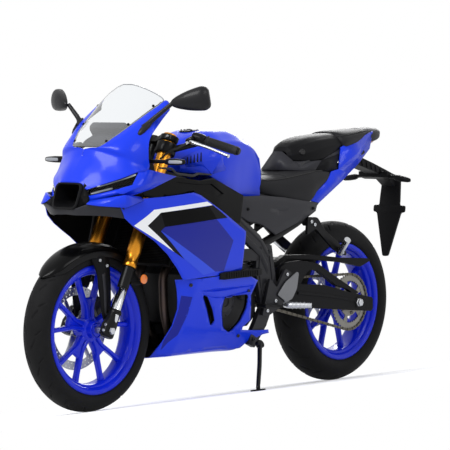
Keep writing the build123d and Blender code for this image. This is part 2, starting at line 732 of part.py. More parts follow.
# Columns: x, then the outer (y, z) points from the top down
DUCT_SKIN = [
    (1300, (168, 880), (180, 820), (186, 760), (190, 620)),
    (1100, (174, 880), (185, 820), (192, 760), (196, 620)),
    (900, (174, 880), (185, 820), (195, 740), (199, 620)),
    (730, (158, 880), (168, 800), (184, 720), (196, 620)),
]
with BuildPart() as duct_panel:
    add(skin_strip(DUCT_SKIN, wall=6))
    add(slab(DUCT_OUTLINE, 100, 260), mode=Mode.INTERSECT)
    mirror(about=Plane.XZ)
keep("duct_panels", duct_panel.part)

LOWER_OUTLINE = [
    (1119, 462), (1096, 430), (1080, 386), (1068, 352), (1068, 290), (1082, 228), (1096, 168),
    (760, 160), (548, 225), (560, 246), (704, 262), (675, 290), (697, 398), (676, 442), (793, 486),
    (906, 462),
]
LOWER_SKIN = [
    (1130, (204, 480), (190, 420), (158, 352), (128, 290), (97, 228), (62, 172), (-1, 168)),
    (900, (212, 490), (200, 420), (176, 352), (150, 290), (122, 228), (80, 182), (-1, 172)),
    (700, (198, 500), (188, 420), (172, 352), (160, 290), (150, 235), (104, 196), (-1, 186)),
    (540, (196, 500), (182, 420), (170, 352), (164, 290), (157, 250), (149, 230), (-1, 222)),
]
COWL_WINDOW = [(856, 396), (836, 318), (800, 250), (752, 290), (724, 388), (780, 418)]
with BuildPart() as lower_cowl:
    add(skin_strip(LOWER_SKIN))
    mirror(about=Plane.XZ)
    add(slab(LOWER_OUTLINE, -260, 260), mode=Mode.INTERSECT)
    add(slab(COWL_WINDOW, -260, 260), mode=Mode.SUBTRACT)
    add(slab([(500, 150), (700, 150), (700, 320), (500, 320)], -146, 146), mode=Mode.SUBTRACT)
keep("lower_cowl", lower_cowl.part)

SIDE_COVER_OUTLINE = [(787, 730), (750, 750), (560, 752), (285, 716), (205, 710), (330, 668), (518, 596)]
SIDE_COVER_SKIN = [
    (800, (150, 780), (160, 720), (162, 580)),
    (560, (134, 780), (146, 720), (156, 580)),
    (330, (122, 780), (132, 720), (136, 580)),
    (190, (108, 780), (116, 720), (118, 580)),
]
with BuildPart() as side_cover:
    add(skin_strip(SIDE_COVER_SKIN, wall=6))
    add(slab(SIDE_COVER_OUTLINE, 60, 220), mode=Mode.INTERSECT)
    mirror(about=Plane.XZ)
keep("side_covers", side_cover.part)

# The core stands parallel to the fork, behind its full lock sweep.
RADIATOR_FRONT = -78.0
RADIATOR_T = 28.0
RADIATOR_S = 706.0
with BuildPart() as radiator:
    with BuildSketch(
        Plane(
            origin=on_steering(RADIATOR_S, RADIATOR_FRONT - RADIATOR_T),
            x_dir=(0, 1, 0),
            z_dir=STEER_FORWARD,
        )
    ):
        RectangleRounded(290, 186, 10)
    extrude(amount=RADIATOR_T)
    add(slab([(990, 632), (1064, 632), (1060, 650), (990, 650)], -40, 40))
keep("radiator", radiator.part)

# ------------------------------------------------------------------ mirrors and indicators
MIRROR_HEAD = [
    (228, (1204, 1090), (1194, 1104), (1176, 1102), (1176, 1086), (1192, 1078)),
    (300, (1182, 1092), (1158, 1132), (1122, 1132), (1112, 1080), (1152, 1066)),
    (352, (1142, 1100), (1126, 1138), (1104, 1138), (1100, 1096), (1116, 1080)),
]


def mirror_set():
    with BuildPart() as made:
        add(slab([(1284, 972), (1292, 986), (1236, 1032), (1220, 1020)], 138, 160))
        add(rod((1256, 150, 1006), (1190, 234, 1092), 8, 6))
        for y, *points in MIRROR_HEAD:
            with BuildSketch(side_plane(y)):
                Polygon(*fored(points), align=None)
        loft(ruled=True)
    return made.part


keep("mirror_left", mirror_set())
keep("mirror_right", mirrored(PIECES["mirror_left"]))

with BuildPart() as indicators:
    add(rod((1238, 163, 886), (1240, 254, 886), 7))
    add(rod((1240, 248, 886), (1246, 330, 886), 15, 9))
    mirror(about=Plane.XZ)
keep("front_indicators", indicators.part)

# ------------------------------------------------------------------ tail end
PLATE_ARM = [(-60, 892), (-60, 862), (-150, 838), (-330, 786), (-400, 790), (-404, 806), (-150, 884)]
PLATE_FLAP = [(-404, 806), (-388, 806), (-372, 700), (-352, 480), (-362, 474), (-384, 640)]
with BuildPart() as plate_holder:
    add(slab(PLATE_ARM, -34, 34))
    add(slab(PLATE_FLAP, -78, 78))
    add(slab([(-270, 818), (-310, 806), (-310, 786), (-270, 796)], -72, 72))
    for spacing in (-PLATE_HOLE_SPACING / 2, PLATE_HOLE_SPACING / 2):
        with BuildSketch(Plane(origin=(-420, spacing, 760), z_dir=(1, 0, 0))):
            Circle(PLATE_HOLE_R)
        extrude(amount=60, mode=Mode.SUBTRACT)
keep("plate_holder", plate_holder.part)

with BuildPart() as tail_lamp:
    add(slab([(-238, 978), (-196, 952), (-150, 940), (-150, 916), (-214, 936), (-244, 962)], -52, 52))
keep("tail_lamp", tail_lamp.part)

with BuildPart() as rear_indicators:
    add(rod((-290, 66, 800), (-290, 98, 796), 7))
    add(rod((-290, 94, 796), (-296, 168, 784), 15, 9))
    mirror(about=Plane.XZ)
keep("rear_indicators", rear_indicators.part)

# ------------------------------------------------------------------ footrests and guards
HANGER = [(560, 440), (604, 300), (560, 300), (488, 330), (430, 452), (470, 470), (520, 400)]
HEEL_GUARD = [(430, 458), (446, 470), (512, 360), (500, 340), (486, 346)]
HANGER_Y = PLATE_OUTSIDE
with BuildPart() as footrest:
    add(slab(HANGER, HANGER_Y, HANGER_Y + 14))
    add(slab(HEEL_GUARD, HANGER_Y + 14, HANGER_Y + 20))
    add(cross_rod(500, 336, 9, HANGER_Y, 195))
    add(rod((500, 190, 336), (455, 272, 336), 13, 11))
    add(slab([(620, 344), (640, 350), (648, 330), (540, 316), (500, 330), (540, 336)], 160, 168))
    add(cross_rod(560, 330, 6, HANGER_Y + 10, 168))
    add(cross_rod(636, 340, 8, 160, 205))
keep("footrest_left", footrest.part)
keep("footrest_right", mirrored(footrest.part))

PILLION_BRACKET = [(290, 640), (268, 612), (130, 500), (82, 496), (78, 516), (200, 600), (250, 660)]
with BuildPart() as pillion_footrest:
    add(slab(PILLION_BRACKET, 122, 136))
    add(slab([(330, 652), (300, 622), (262, 618), (262, 652)], 100, 124))
    add(rod((112, 134, 512), (140, 196, 568), 9, 7))
    mirror(about=Plane.XZ)
keep("pillion_footrests", pillion_footrest.part)

GUARD = [
    (470, 470), (404, 500), (260, 492), (60, 472), (-60, 450), (-120, 470), (-112, 480), (60, 490),
    (240, 510), (410, 516), (480, 486),
]
with BuildPart() as chain_guard:
    add(slab(GUARD, CHAIN_Y - 14, CHAIN_Y + 14))
    add(slab([(380, 398), (400, 398), (410, 505), (390, 505)], SWINGARM_Y - 9, SWINGARM_Y + 4))
    add(slab([(-50, 335), (-36, 335), (-30, 470), (-50, 470)], SWINGARM_Y - 8, SWINGARM_Y + 1))
keep("chain_guard", chain_guard.part)

# ------------------------------------------------------------------ steering
FORK_SIDES = (-FORK_HALF_SPACING, FORK_HALF_SPACING)
with BuildPart() as yokes:
    for s in (TOP_YOKE_S, LOW_YOKE_S):
        with BuildSketch(steering_plane(s - YOKE_THICKNESS / 2)):
            Polygon(
                (-26, -30), (-26, 30), (6, FORK_HALF_SPACING + 30), (50, FORK_HALF_SPACING + 38),
                (62, FORK_HALF_SPACING), (44, 30), (44, -30), (62, -FORK_HALF_SPACING),
                (50, -FORK_HALF_SPACING - 38), (6, -FORK_HALF_SPACING - 30), align=None,
            )
        extrude(amount=YOKE_THICKNESS)
    for left in FORK_SIDES:
        with BuildSketch(steering_plane(LOW_YOKE_S - 50, FORK_FORWARD, left)):
            Circle(FORK_OUTER_R)
        extrude(amount=TOP_YOKE_S - LOW_YOKE_S + 100, mode=Mode.SUBTRACT)
    with BuildSketch(steering_plane(LOW_YOKE_S - YOKE_THICKNESS / 2)):
        Circle(STEM_R)
    extrude(amount=TOP_YOKE_S - LOW_YOKE_S + YOKE_THICKNESS)
    with BuildSketch(steering_plane(LOW_YOKE_S - YOKE_THICKNESS)):
        Circle(STEM_BORE_R)
    extrude(amount=TOP_YOKE_S - LOW_YOKE_S + 2 * YOKE_THICKNESS, mode=Mode.SUBTRACT)
keep("fork_yokes", yokes.part)

with BuildPart() as fork_outers:
    for left in FORK_SIDES:
        with BuildSketch(steering_plane(FORK_BOTTOM_S, FORK_FORWARD, left)):
            Circle(FORK_OUTER_R)
            Circle(FORK_INNER_R, mode=Mode.SUBTRACT)
        extrude(amount=FORK_TOP_S - FORK_BOTTOM_S)
keep("fork_outers", fork_outers.part)

with BuildPart() as fork_inners:
    for left in FORK_SIDES:
        with BuildSketch(steering_plane(AXLE_S + 20, FORK_FORWARD, left)):
            Circle(FORK_INNER_R)
        extrude(amount=FORK_TOP_S - AXLE_S - 30)
        with BuildSketch(steering_plane(AXLE_S - 24, (FORK_FORWARD + AXLE_OFFSET) / 2, left)):
            RectangleRounded(AXLE_OFFSET - FORK_FORWARD + 44, 42, 12)
        extrude(amount=92)
    with BuildSketch(side_plane(140, WHEELBASE, FRONT_TYRE_R)):
        Circle(AXLE_R)
    extrude(amount=280, mode=Mode.SUBTRACT)
keep("fork_inners", fork_inners.part)

with BuildPart() as front_axle:
    add(cross_rod(DRAWN_WHEELBASE, FRONT_TYRE_R, AXLE_R, -122, 122))
    add(cross_rod(DRAWN_WHEELBASE, FRONT_TYRE_R, 13, 118.0, 126.0))
    add(cross_rod(DRAWN_WHEELBASE, FRONT_TYRE_R, 13, FRONT_HUB_HALF + 0.5, FORK_HALF_SPACING - 21))
    add(cross_rod(DRAWN_WHEELBASE, FRONT_TYRE_R, 13, 21 - FORK_HALF_SPACING, -FRONT_HUB_HALF - 0.5))
keep("front_axle", front_axle.part)

CLIP_S = 1010.0
BAR_ROOT = (1070, FORK_HALF_SPACING + 30, 925.5)
GRIP_START = (999, 224, 956)
GRIP_END = (959, 345, 918)
GRIP_LENGTH = 125.0
GRIP_R = 16.5
BAR_R = 11.0
with BuildPart() as clip_on:
    with BuildSketch(steering_plane(CLIP_S - 22, FORK_FORWARD, FORK_HALF_SPACING)):
        Circle(FORK_OUTER_R + 10)
        with Locations((-4, 30)):
            Rectangle(34, 30)
        Circle(FORK_OUTER_R, mode=Mode.SUBTRACT)
    extrude(amount=40)
    add(rod(BAR_ROOT, GRIP_START, BAR_R))
    add(rod(GRIP_START, GRIP_END, BAR_R))
    add(rod((1016, 184, 958), (1001, 219, 956.5), 21))
    add(slab([(1010, 944), (1060, 944), (1066, 966), (1010, 970)], 168, 190))
    mirror(about=Plane.XZ)
keep("clip_ons", clip_on.part)

with BuildPart() as grips:
    grip_start, grip_end = (Vector(*point) for point in fored([GRIP_START, GRIP_END]))
    with BuildSketch(Plane(origin=grip_start, z_dir=(grip_end - grip_start).normalized())):
        Circle(GRIP_R)
        Circle(BAR_R, mode=Mode.SUBTRACT)
    extrude(amount=GRIP_LENGTH)
    mirror(about=Plane.XZ)
keep("grips", grips.part)

with BuildPart() as levers:
    add(pipe([(1056, 190, 955), (1054, 212, 949), (1014, 330, 906)], 5, 14))
    mirror(about=Plane.XZ)
keep("levers", levers.part)

# front mudguard: a channel section revolved about the axle over an arc, with two legs to the fork
FENDER_R = FRONT_TYRE_R + 12
FENDER_HALF_W = 66
FENDER_FRONT_DEG = 44
FENDER_REAR_DEG = 128
with BuildPart() as front_fender:
    fender_start = Plane(
        origin=(WHEELBASE, 0, FRONT_TYRE_R),
        x_dir=(math.cos(math.radians(FENDER_FRONT_DEG)), 0, math.sin(math.radians(FENDER_FRONT_DEG))),
        z_dir=(math.sin(math.radians(FENDER_FRONT_DEG)), 0, -math.cos(math.radians(FENDER_FRONT_DEG))),
    )
    with BuildSketch(fender_start):
        Polygon(
            (FENDER_R - 40, -FENDER_HALF_W), (FENDER_R - 12, -FENDER_HALF_W + 2), (FENDER_R + 8, -34),
            (FENDER_R + 14, 0), (FENDER_R + 8, 34), (FENDER_R - 12, FENDER_HALF_W - 2),
            (FENDER_R - 40, FENDER_HALF_W), (FENDER_R - 40, FENDER_HALF_W - 3),
            (FENDER_R - 14, FENDER_HALF_W - 5), (FENDER_R + 5, 32), (FENDER_R + 10, 0),
            (FENDER_R + 5, -32), (FENDER_R - 14, 5 - FENDER_HALF_W), (FENDER_R - 40, 3 - FENDER_HALF_W),
            align=None,
        )
    revolve(
        axis=Axis((WHEELBASE, 0, FRONT_TYRE_R), (0, -1, 0)),
        revolution_arc=FENDER_REAR_DEG - FENDER_FRONT_DEG,
    )
    leg_top = FRONT_TYRE_R + FENDER_R - 23
    leg_foot = FRONT_TYRE_R + 43
    fender_leg = [
        (1336, leg_top), (1400, leg_top - 5), (1376, leg_foot + 104), (1364, leg_foot), (1334, leg_foot),
        (1334, leg_foot + 84),
    ]
    add(slab(fender_leg, FENDER_HALF_W - 3, FENDER_HALF_W + 5))
    add(cross_rod(1347, leg_foot + 9, 9, FENDER_HALF_W, FORK_HALF_SPACING - 21))
    mirror(about=Plane.XZ)
keep("front_fender", front_fender.part)

CALIPER_DEG = 152
with BuildPart() as caliper:
    with BuildSketch(side_plane(FRONT_DISC_Y + 26, WHEELBASE, FRONT_TYRE_R)):
        with PolarLocations(FRONT_DISC_R - 22, 1, start_angle=CALIPER_DEG):
            RectangleRounded(62, 104, 14)
    extrude(amount=48)
    with BuildSketch(side_plane(FRONT_DISC_Y + 3.5, WHEELBASE, FRONT_TYRE_R)):
        Circle(FRONT_DISC_R + 3)
    extrude(amount=7, mode=Mode.SUBTRACT)
    ear_z = FRONT_TYRE_R + 37
    caliper_ear = [(1286, ear_z + 80), (1286, ear_z), (1352, ear_z), (1346, ear_z + 80)]
    add(slab(caliper_ear, FRONT_DISC_Y - 32, FRONT_DISC_Y - 20))
keep("front_caliper", caliper.part)

# brake hose from the right bar, ahead of the lower yoke and outside the fork, to the caliper
HOSE_R = 4.0
HOSE_BEND = 26.0
HOSE_ROUTE = [
    (1040, -179, 952), (1076, -176, 926), (1132, -150, 912), (1204, -118, 768), (1230, -140, 572),
    (1243, -112, 470), (1264, -64, 392),
]
with BuildPart() as brake_hose:
    add(pipe(HOSE_ROUTE, HOSE_R, HOSE_BEND))
keep("brake_hose", brake_hose.part)

# ------------------------------------------------------------------ side stand
with BuildPart() as side_stand:
    add(rod(tuple(STAND_TOP), tuple(STAND_LEG_END), SIDE_STAND_R))
    add(rod(tuple(STAND_TOP - STAND_AXIS * STAND_BOSS_HALF), tuple(STAND_TOP + STAND_AXIS * STAND_BOSS_HALF), 17))
    with BuildSketch(Plane(origin=tuple(STAND_FOOT), x_dir=(1, 0, 0), z_dir=tuple(GROUND_UP))):
        RectangleRounded(58, 34, 12)
    extrude(amount=STAND_PAD_T)
    add(rod(tuple(STAND_FOOT + GROUND_UP * 3), tuple(STAND_LEG_END), SIDE_STAND_R))
keep("side_stand", side_stand.part)

# ------------------------------------------------------------------ seats between pieces
# Each first piece is cut to the second where it seats on it or lets it through. What is cut off
# beyond the second piece is waste.
OFFCUT_SHARE = 0.12
CUTS = [
    ("front_stay", "frame"), ("frame", "pivot_plates"), ("subframe", "pivot_plates"),
    ("rider_seat", "pivot_plates"), ("shock_absorber", "pivot_plates"), ("pivot_plates", "lower_cowl"),
    ("cockpit_panel", "front_stay"), ("intake_duct", "front_stay"), ("instrument_panel", "front_stay"),
    ("exhaust_headers", "engine_block"), ("silencer", "exhaust_headers"), ("subframe", "frame"),
    ("chain_guard", "swingarm"), ("cockpit_panel", "upper_cowl"),
    ("instrument_panel", "cockpit_panel"), ("mirror_left", "cockpit_panel"),
    ("mirror_right", "cockpit_panel"), ("mirror_left", "upper_cowl"), ("mirror_right", "upper_cowl"),
    ("headlamps", "intake_duct"), ("windscreen", "upper_cowl"),
    ("rider_seat", "subframe"), ("rider_seat", "frame"), ("tail_undertray", "rider_seat"),
    ("tail_undertray", "subframe"), ("tail_undertray", "pillion_seat"), ("tail_cowl", "pillion_seat"),
    ("tail_cowl", "subframe"), ("tail_lamp", "tail_cowl"), ("tail_lamp", "tail_undertray"),
    ("plate_holder", "subframe"), ("plate_holder", "tail_undertray"),
    ("rear_indicators", "plate_holder"), ("side_covers", "subframe"), ("side_covers", "tail_cowl"),
    ("clip_ons", "fork_outers"), ("grips", "clip_ons"), ("levers", "clip_ons"),
    ("front_caliper", "front_fender"), ("front_caliper", "fork_inners"),
    ("brake_hose", "clip_ons"), ("brake_hose", "front_caliper"),
    ("front_indicators", "cockpit_panel"), ("shock_absorber", "swingarm"),
    ("frame", "fuel_tank"), ("frame", "duct_panels"), ("frame", "side_fairing_left"),
    ("frame", "side_fairing_right"), ("pillion_footrests", "subframe"),
    ("radiator", "engine_block"),
]
for cut_name, other_name in CUTS:
    with BuildPart() as cut_piece:
        add(PIECES[cut_name])
        add(PIECES[other_name], mode=Mode.SUBTRACT)
    largest = max(solid.volume for solid in cut_piece.solids())
    wanted = [solid for solid in cut_piece.solids() if solid.volume > OFFCUT_SHARE * largest]
    keep(cut_name, Part() + wanted)

# ------------------------------------------------------------------ placing
# Lean to the left about the line through the tyres' lowest points, then origin to the bottom centre.
leaned = {name: part.rotate(Axis.X, -LEAN) for name, part in PIECES.items()}
boxes = [part.bounding_box() for part in leaned.values()]
ORIGIN_SHIFT = Vector(
    -(min(box.min.X for box in boxes) + max(box.max.X for box in boxes)) / 2,
    -(min(box.min.Y for box in boxes) + max(box.max.Y for box in boxes)) / 2,
    -min(box.min.Z for box in boxes),
)

os.makedirs("parts", exist_ok=True)
for name, part in leaned.items():
    placed = part.translate(ORIGIN_SHIFT)
    placed.label = name
    export_step(placed, f"parts/{name}.step")
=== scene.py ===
"""A faired sport motorcycle on its side stand: surfaces, finishes, light and camera round its frame."""
import json
import math

import bmesh
import bpy
import numpy as np
from mathutils import Matrix, Vector
from mathutils.geometry import delaunay_2d_cdt


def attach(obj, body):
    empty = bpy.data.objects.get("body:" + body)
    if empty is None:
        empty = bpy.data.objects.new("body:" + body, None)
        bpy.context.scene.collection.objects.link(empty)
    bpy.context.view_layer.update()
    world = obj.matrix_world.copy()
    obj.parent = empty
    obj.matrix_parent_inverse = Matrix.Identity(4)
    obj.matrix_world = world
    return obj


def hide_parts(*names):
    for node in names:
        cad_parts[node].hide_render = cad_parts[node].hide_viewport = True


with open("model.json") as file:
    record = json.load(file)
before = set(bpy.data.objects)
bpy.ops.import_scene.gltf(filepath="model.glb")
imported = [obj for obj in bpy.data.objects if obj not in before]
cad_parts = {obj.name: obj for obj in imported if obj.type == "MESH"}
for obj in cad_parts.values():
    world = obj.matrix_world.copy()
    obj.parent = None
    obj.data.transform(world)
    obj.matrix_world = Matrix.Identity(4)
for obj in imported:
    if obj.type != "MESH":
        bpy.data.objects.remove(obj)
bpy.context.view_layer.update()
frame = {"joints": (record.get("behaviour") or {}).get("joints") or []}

# ---------------------------------------------------------------- the leaning machine
# The motorcycle leans on its side stand. Each shape below is worked out on the upright machine, in
# millimetres: x forward from the rear axle, y to the rider's left from the middle plane, z up from the
# ground. bike() leans it over and puts it on its place in the frame, in metres.
joints = {joint["name"]: joint for joint in frame["joints"]}
SIDES = ((1, "left"), (-1, "right"))
REAR_RADIUS = 314.0
REAR_AXLE = np.array(joints["rear_wheel_spin"]["pos_m"])
FRONT_AXLE_ROW = np.array(joints["front_wheel_spin"]["pos_m"])
ACROSS = np.array(joints["rear_wheel_spin"]["axis"])
AHEAD = np.array([1.0, 0.0, 0.0])
UPWARD = np.cross(AHEAD, ACROSS)
WHEELBASE = 1000 * (FRONT_AXLE_ROW - REAR_AXLE)[0]
FRONT_RADIUS = REAR_RADIUS + 1000 * float((FRONT_AXLE_ROW - REAR_AXLE) @ UPWARD)


def bike(points):
    """Upright coordinates in mm, carried along the machine's own leaning axes from the rear axle."""
    steps = np.asarray(points, float) / 1000
    along = steps[..., 0:1] * AHEAD + steps[..., 1:2] * ACROSS
    return REAR_AXLE + along + (steps[..., 2:3] - REAR_RADIUS / 1000) * UPWARD


def unit(vector):
    """The vector at length one."""
    return vector / np.linalg.norm(vector)


def circle(count):
    """Even angles once round."""
    return np.linspace(0, 2 * math.pi, count, endpoint=False)


def about(points, centre, scale):
    """The points scaled about a centre."""
    return (np.asarray(points, float) - centre) * scale + centre


def mix(start, end, share):
    """The value at a share of the way from start to end."""
    return np.asarray(start, float) * (1 - share) + np.asarray(end, float) * share


# ---------------------------------------------------------------- camera
# A long lens close to the ground, on the machine's left front quarter. The camera rolls with the lean,
# so that the motorcycle looks upright from here while it rests on its stand.
IMAGE_PX = 450
FOCAL_PX = 2507.35
SENSOR_MM = 36.0
CAMERA_AZIMUTH = 40.76
CAMERA_TILT = -3.10
CAMERA_ROLL = -6.70
CAMERA_PLACE = (7.1130, 6.0749, 0.1196)

camera_data = bpy.data.cameras.new("camera")
camera_data.sensor_width = SENSOR_MM
camera_data.lens = FOCAL_PX / IMAGE_PX * SENSOR_MM
camera_data.clip_end = 100.0
camera = bpy.data.objects.new("camera", camera_data)
bpy.context.scene.collection.objects.link(camera)
azimuth, tilt, roll = (math.radians(a) for a in (CAMERA_AZIMUTH, CAMERA_TILT, CAMERA_ROLL))
back = np.array([math.cos(azimuth) * math.cos(tilt), math.sin(azimuth) * math.cos(tilt), math.sin(tilt)])
level = unit(np.cross(-back, [0, 0, 1]))
raised = np.cross(level, -back)
right = level * math.cos(roll) + raised * math.sin(roll)
above = raised * math.cos(roll) - level * math.sin(roll)
placed = np.eye(4)
placed[:3, 0], placed[:3, 1], placed[:3, 2], placed[:3, 3] = right, above, back, CAMERA_PLACE
camera.matrix_world = Matrix(placed)
bpy.context.scene.camera = camera

# ---------------------------------------------------------------- light, floor and backdrop
# A white studio: soft boxes over the front quarter, to the left and behind, a bright sky for fill, and a
# matt white floor that takes the contact shadows and fades into the backdrop.


def colour(text, alpha=1.0):
    """An sRGB hex colour turned to linear light: each channel c becomes ((c + 0.055) / 1.055) ^ 2.4."""
    channels = np.array([int(text[i:i + 2], 16) for i in (0, 2, 4)]) / 255
    linear = np.where(channels <= 0.04045, channels / 12.92, ((channels + 0.055) / 1.055) ** 2.4)
    return (*linear.tolist(), alpha)


def add(tree, kind, links=None, **settings):
    """Adds a node. A setting names the node's own attribute or the socket it shows under that label;
    links give a socket its source."""
    made = tree.nodes.new("ShaderNode" + kind)
    labels = {name: name.replace("_", " ") for name in settings}
    shown = {socket.name.lower() for socket in made.inputs}
    for name, value in settings.items():
        if labels[name] not in shown:
            setattr(made, name, value)
    for socket in made.inputs:
        for name, value in settings.items():
            if socket.enabled and socket.name.lower() == labels[name]:
                socket.default_value = value
    for name, source in (links or {}).items():
        socket = made.inputs[name]
        tree.links.new(source.outputs[0] if isinstance(source, bpy.types.Node) else source, socket)
    return made


def tree_of(name):
    """An empty material's node tree with its output."""
    material = bpy.data.materials.new(name)
    material.use_nodes = True
    material.node_tree.nodes.clear()
    return material, material.node_tree


def seen_rays(tree):
    """1 for the rays that show a surface directly, in a gloss or through glass, and 0 for those that
    light it."""
    path = add(tree, "LightPath")
    seen = add(
        tree, "Math", {0: path.outputs["Is Camera Ray"], 1: path.outputs["Is Glossy Ray"]},
        operation="MAXIMUM")
    return add(tree, "Math", {0: seen, 1: path.outputs["Is Transmission Ray"]}, operation="MAXIMUM")


SKY_STRENGTH = 0.55
BACKDROP = "FFFFFF"
world = bpy.data.worlds.new("studio")
bpy.context.scene.world = world
world.use_nodes = True
world.node_tree.nodes.clear()
sky = add(world.node_tree, "Background", color=colour("F4F6FA"), strength=SKY_STRENGTH)
shown = add(world.node_tree, "Background", color=colour(BACKDROP), strength=1.0)
mixed = add(world.node_tree, "MixShader", {0: seen_rays(world.node_tree), 1: sky, 2: shown})
add(world.node_tree, "OutputWorld", {"Surface": mixed})

FLOOR_HALF = 30.0
FLOOR_GLOW = 0.22
# metres from the middle at which the floor has faded into the backdrop
FLOOR_FADE = 2.6
floor_material, tree = tree_of("studio_floor_matt_white")
diffuse = add(tree, "BsdfDiffuse", color=colour("F2F2F2"))
glow = add(tree, "Emission", color=colour(BACKDROP), strength=FLOOR_GLOW)
lit = add(tree, "AddShader", {0: diffuse, 1: glow})
lit = add(tree, "MixShader", {0: seen_rays(tree), 1: diffuse, 2: lit})
place = add(tree, "TexCoord")
reach = add(tree, "Mapping", {"Vector": place.outputs["Object"]})
reach.inputs["Scale"].default_value = (1 / FLOOR_FADE, 1 / FLOOR_FADE, 1 / FLOOR_FADE)
round_fade = add(tree, "TexGradient", {"Vector": reach}, gradient_type="SPHERICAL")
share = add(tree, "MapRange", {"Value": round_fade}, from_min=0.05, from_max=0.45)
add(
    tree, "OutputMaterial",
    {"Surface": add(tree, "MixShader", {0: share, 1: add(tree, "BsdfTransparent"), 2: lit})})
floor_mesh = bpy.data.meshes.new("floor")
edge = FLOOR_HALF
floor_mesh.from_pydata(
    [(-edge, -edge, 0), (edge, -edge, 0), (edge, edge, 0), (-edge, edge, 0)], [], [(0, 1, 2, 3)])
floor_mesh.materials.append(floor_material)
floor = bpy.data.objects.new("floor", floor_mesh)
bpy.context.scene.collection.objects.link(floor)

# name, place, aimed at, width and height in metres, watts
SOFT_BOXES = (
    ("key", (4.6, 0.6, 4.2), (0.4, 0.0, 0.6), 3.2, 2.2, 250),
    ("side", (-0.5, 5.5, 3.4), (0.0, 0.0, 0.5), 3.0, 1.6, 70),
    ("rear", (-4.5, -2.5, 3.2), (0.0, 0.0, 0.6), 2.5, 1.6, 110))
for name, place, target, width, height, watts in SOFT_BOXES:
    lamp = bpy.data.lights.new(name, "AREA")
    lamp.shape = "RECTANGLE"
    lamp.size, lamp.size_y, lamp.energy = width, height, watts
    holder = bpy.data.objects.new(name, lamp)
    bpy.context.scene.collection.objects.link(holder)
    away = unit(np.array(place) - np.array(target))
    side = unit(np.cross([0, 0, 1], away))
    aimed = np.eye(4)
    aimed[:3, 0], aimed[:3, 1], aimed[:3, 2], aimed[:3, 3] = side, np.cross(away, side), away, place
    holder.matrix_world = Matrix(aimed)

bpy.context.scene.view_settings.view_transform = "Standard"

# ---------------------------------------------------------------- finishes
# One function for each family of surface. Colours are sRGB hex, scales are in waves per metre, and
# depths are in metres.


def skin(name, base, worn, cloud, grain, strength, depth, roughness, shine, pattern="TexNoise"):
    """Rubber, vinyl or a rough casting: clouds of two tones, given by scale and detail, and a fine
    grain that stands up by the depth in metres."""
    material, tree = tree_of(name)
    place = add(tree, "TexCoord")
    clouds = add(tree, "TexNoise", {"Vector": place.outputs["Object"]}, scale=cloud[0], detail=cloud[1])
    tone = add(tree, "Mix", {"Factor": clouds}, data_type="RGBA", a=colour(base), b=colour(worn))
    fine = add(tree, pattern, {"Vector": place.outputs["Object"]}, **grain)
    relief = add(tree, "Bump", {"Height": fine}, strength=strength, distance=depth)
    links = {"Base Color": tone.outputs["Result"], "Normal": relief}
    body = add(tree, "BsdfPrincipled", links, roughness=roughness, specular_ior_level=shine)
    add(tree, "OutputMaterial", {"Surface": body})
    return material


def lacquer(name, base, deep, roughness=0.34, coat=0.22, shine=0.12):
    """A base colour that drifts a little between two tones, a soft base gloss, and a clear coat with
    orange peel of about 2 mm."""
    material, tree = tree_of(name)
    place = add(tree, "TexCoord")
    cloud = add(tree, "TexNoise", {"Vector": place.outputs["Object"]}, scale=3.0, detail=2.0)
    tone = add(tree, "Mix", {"Factor": cloud}, data_type="RGBA", a=colour(base), b=colour(deep))
    peel = add(tree, "TexNoise", {"Vector": place.outputs["Object"]}, scale=480.0, detail=1.0)
    relief = add(tree, "Bump", {"Height": peel}, strength=0.02, distance=0.0004)
    paint = add(
        tree, "BsdfPrincipled", {"Base Color": tone.outputs["Result"], "Coat Normal": relief},
        roughness=roughness, specular_ior_level=shine, coat_weight=coat, coat_roughness=0.09)
    add(tree, "OutputMaterial", {"Surface": paint})
    return material


def metal(name, tone, worn, roughness, scratch=0.25, stretch=(1, 1, 1), metallic=1.0):
    """Bare or plated metal: the tone drifts towards the worn one, and fine stretched noise varies the
    gloss."""
    material, tree = tree_of(name)
    place = add(tree, "TexCoord")
    stretched = add(tree, "Mapping", {"Vector": place.outputs["Object"]})
    stretched.inputs["Scale"].default_value = stretch
    cloud = add(tree, "TexNoise", {"Vector": place.outputs["Object"]}, scale=14.0, detail=4.0)
    mixed = add(tree, "Mix", {"Factor": cloud}, data_type="RGBA", a=colour(tone), b=colour(worn))
    fine = add(tree, "TexNoise", {"Vector": stretched}, scale=260.0, detail=4.0)
    gloss = add(tree, "MapRange", {"Value": fine}, to_min=roughness, to_max=roughness + scratch)
    relief = add(tree, "Bump", {"Height": fine}, strength=0.08, distance=0.0003)
    body = add(
        tree, "BsdfPrincipled",
        {"Base Color": mixed.outputs["Result"], "Roughness": gloss, "Normal": relief}, metallic=metallic)
    add(tree, "OutputMaterial", {"Surface": body})
    return material


def moulded_lens(name, tint, roughness, coat, shine=0.5, pattern=None, strength=0.0, depth=0.0, **texture):
    """Coloured plastic under a gloss; a pattern, where one is given, stands up by the depth in
    metres."""
    material, tree = tree_of(name)
    links = {}
    if pattern:
        place = add(tree, "TexCoord")
        cells = add(tree, pattern, {"Vector": place.outputs["Object"]}, **texture)
        links = {"Normal": add(tree, "Bump", {"Height": cells}, strength=strength, distance=depth)}
    body = add(
        tree, "BsdfPrincipled", links, base_color=colour(tint), roughness=roughness, coat_weight=coat,
        specular_ior_level=shine)
    add(tree, "OutputMaterial", {"Surface": body})
    return material


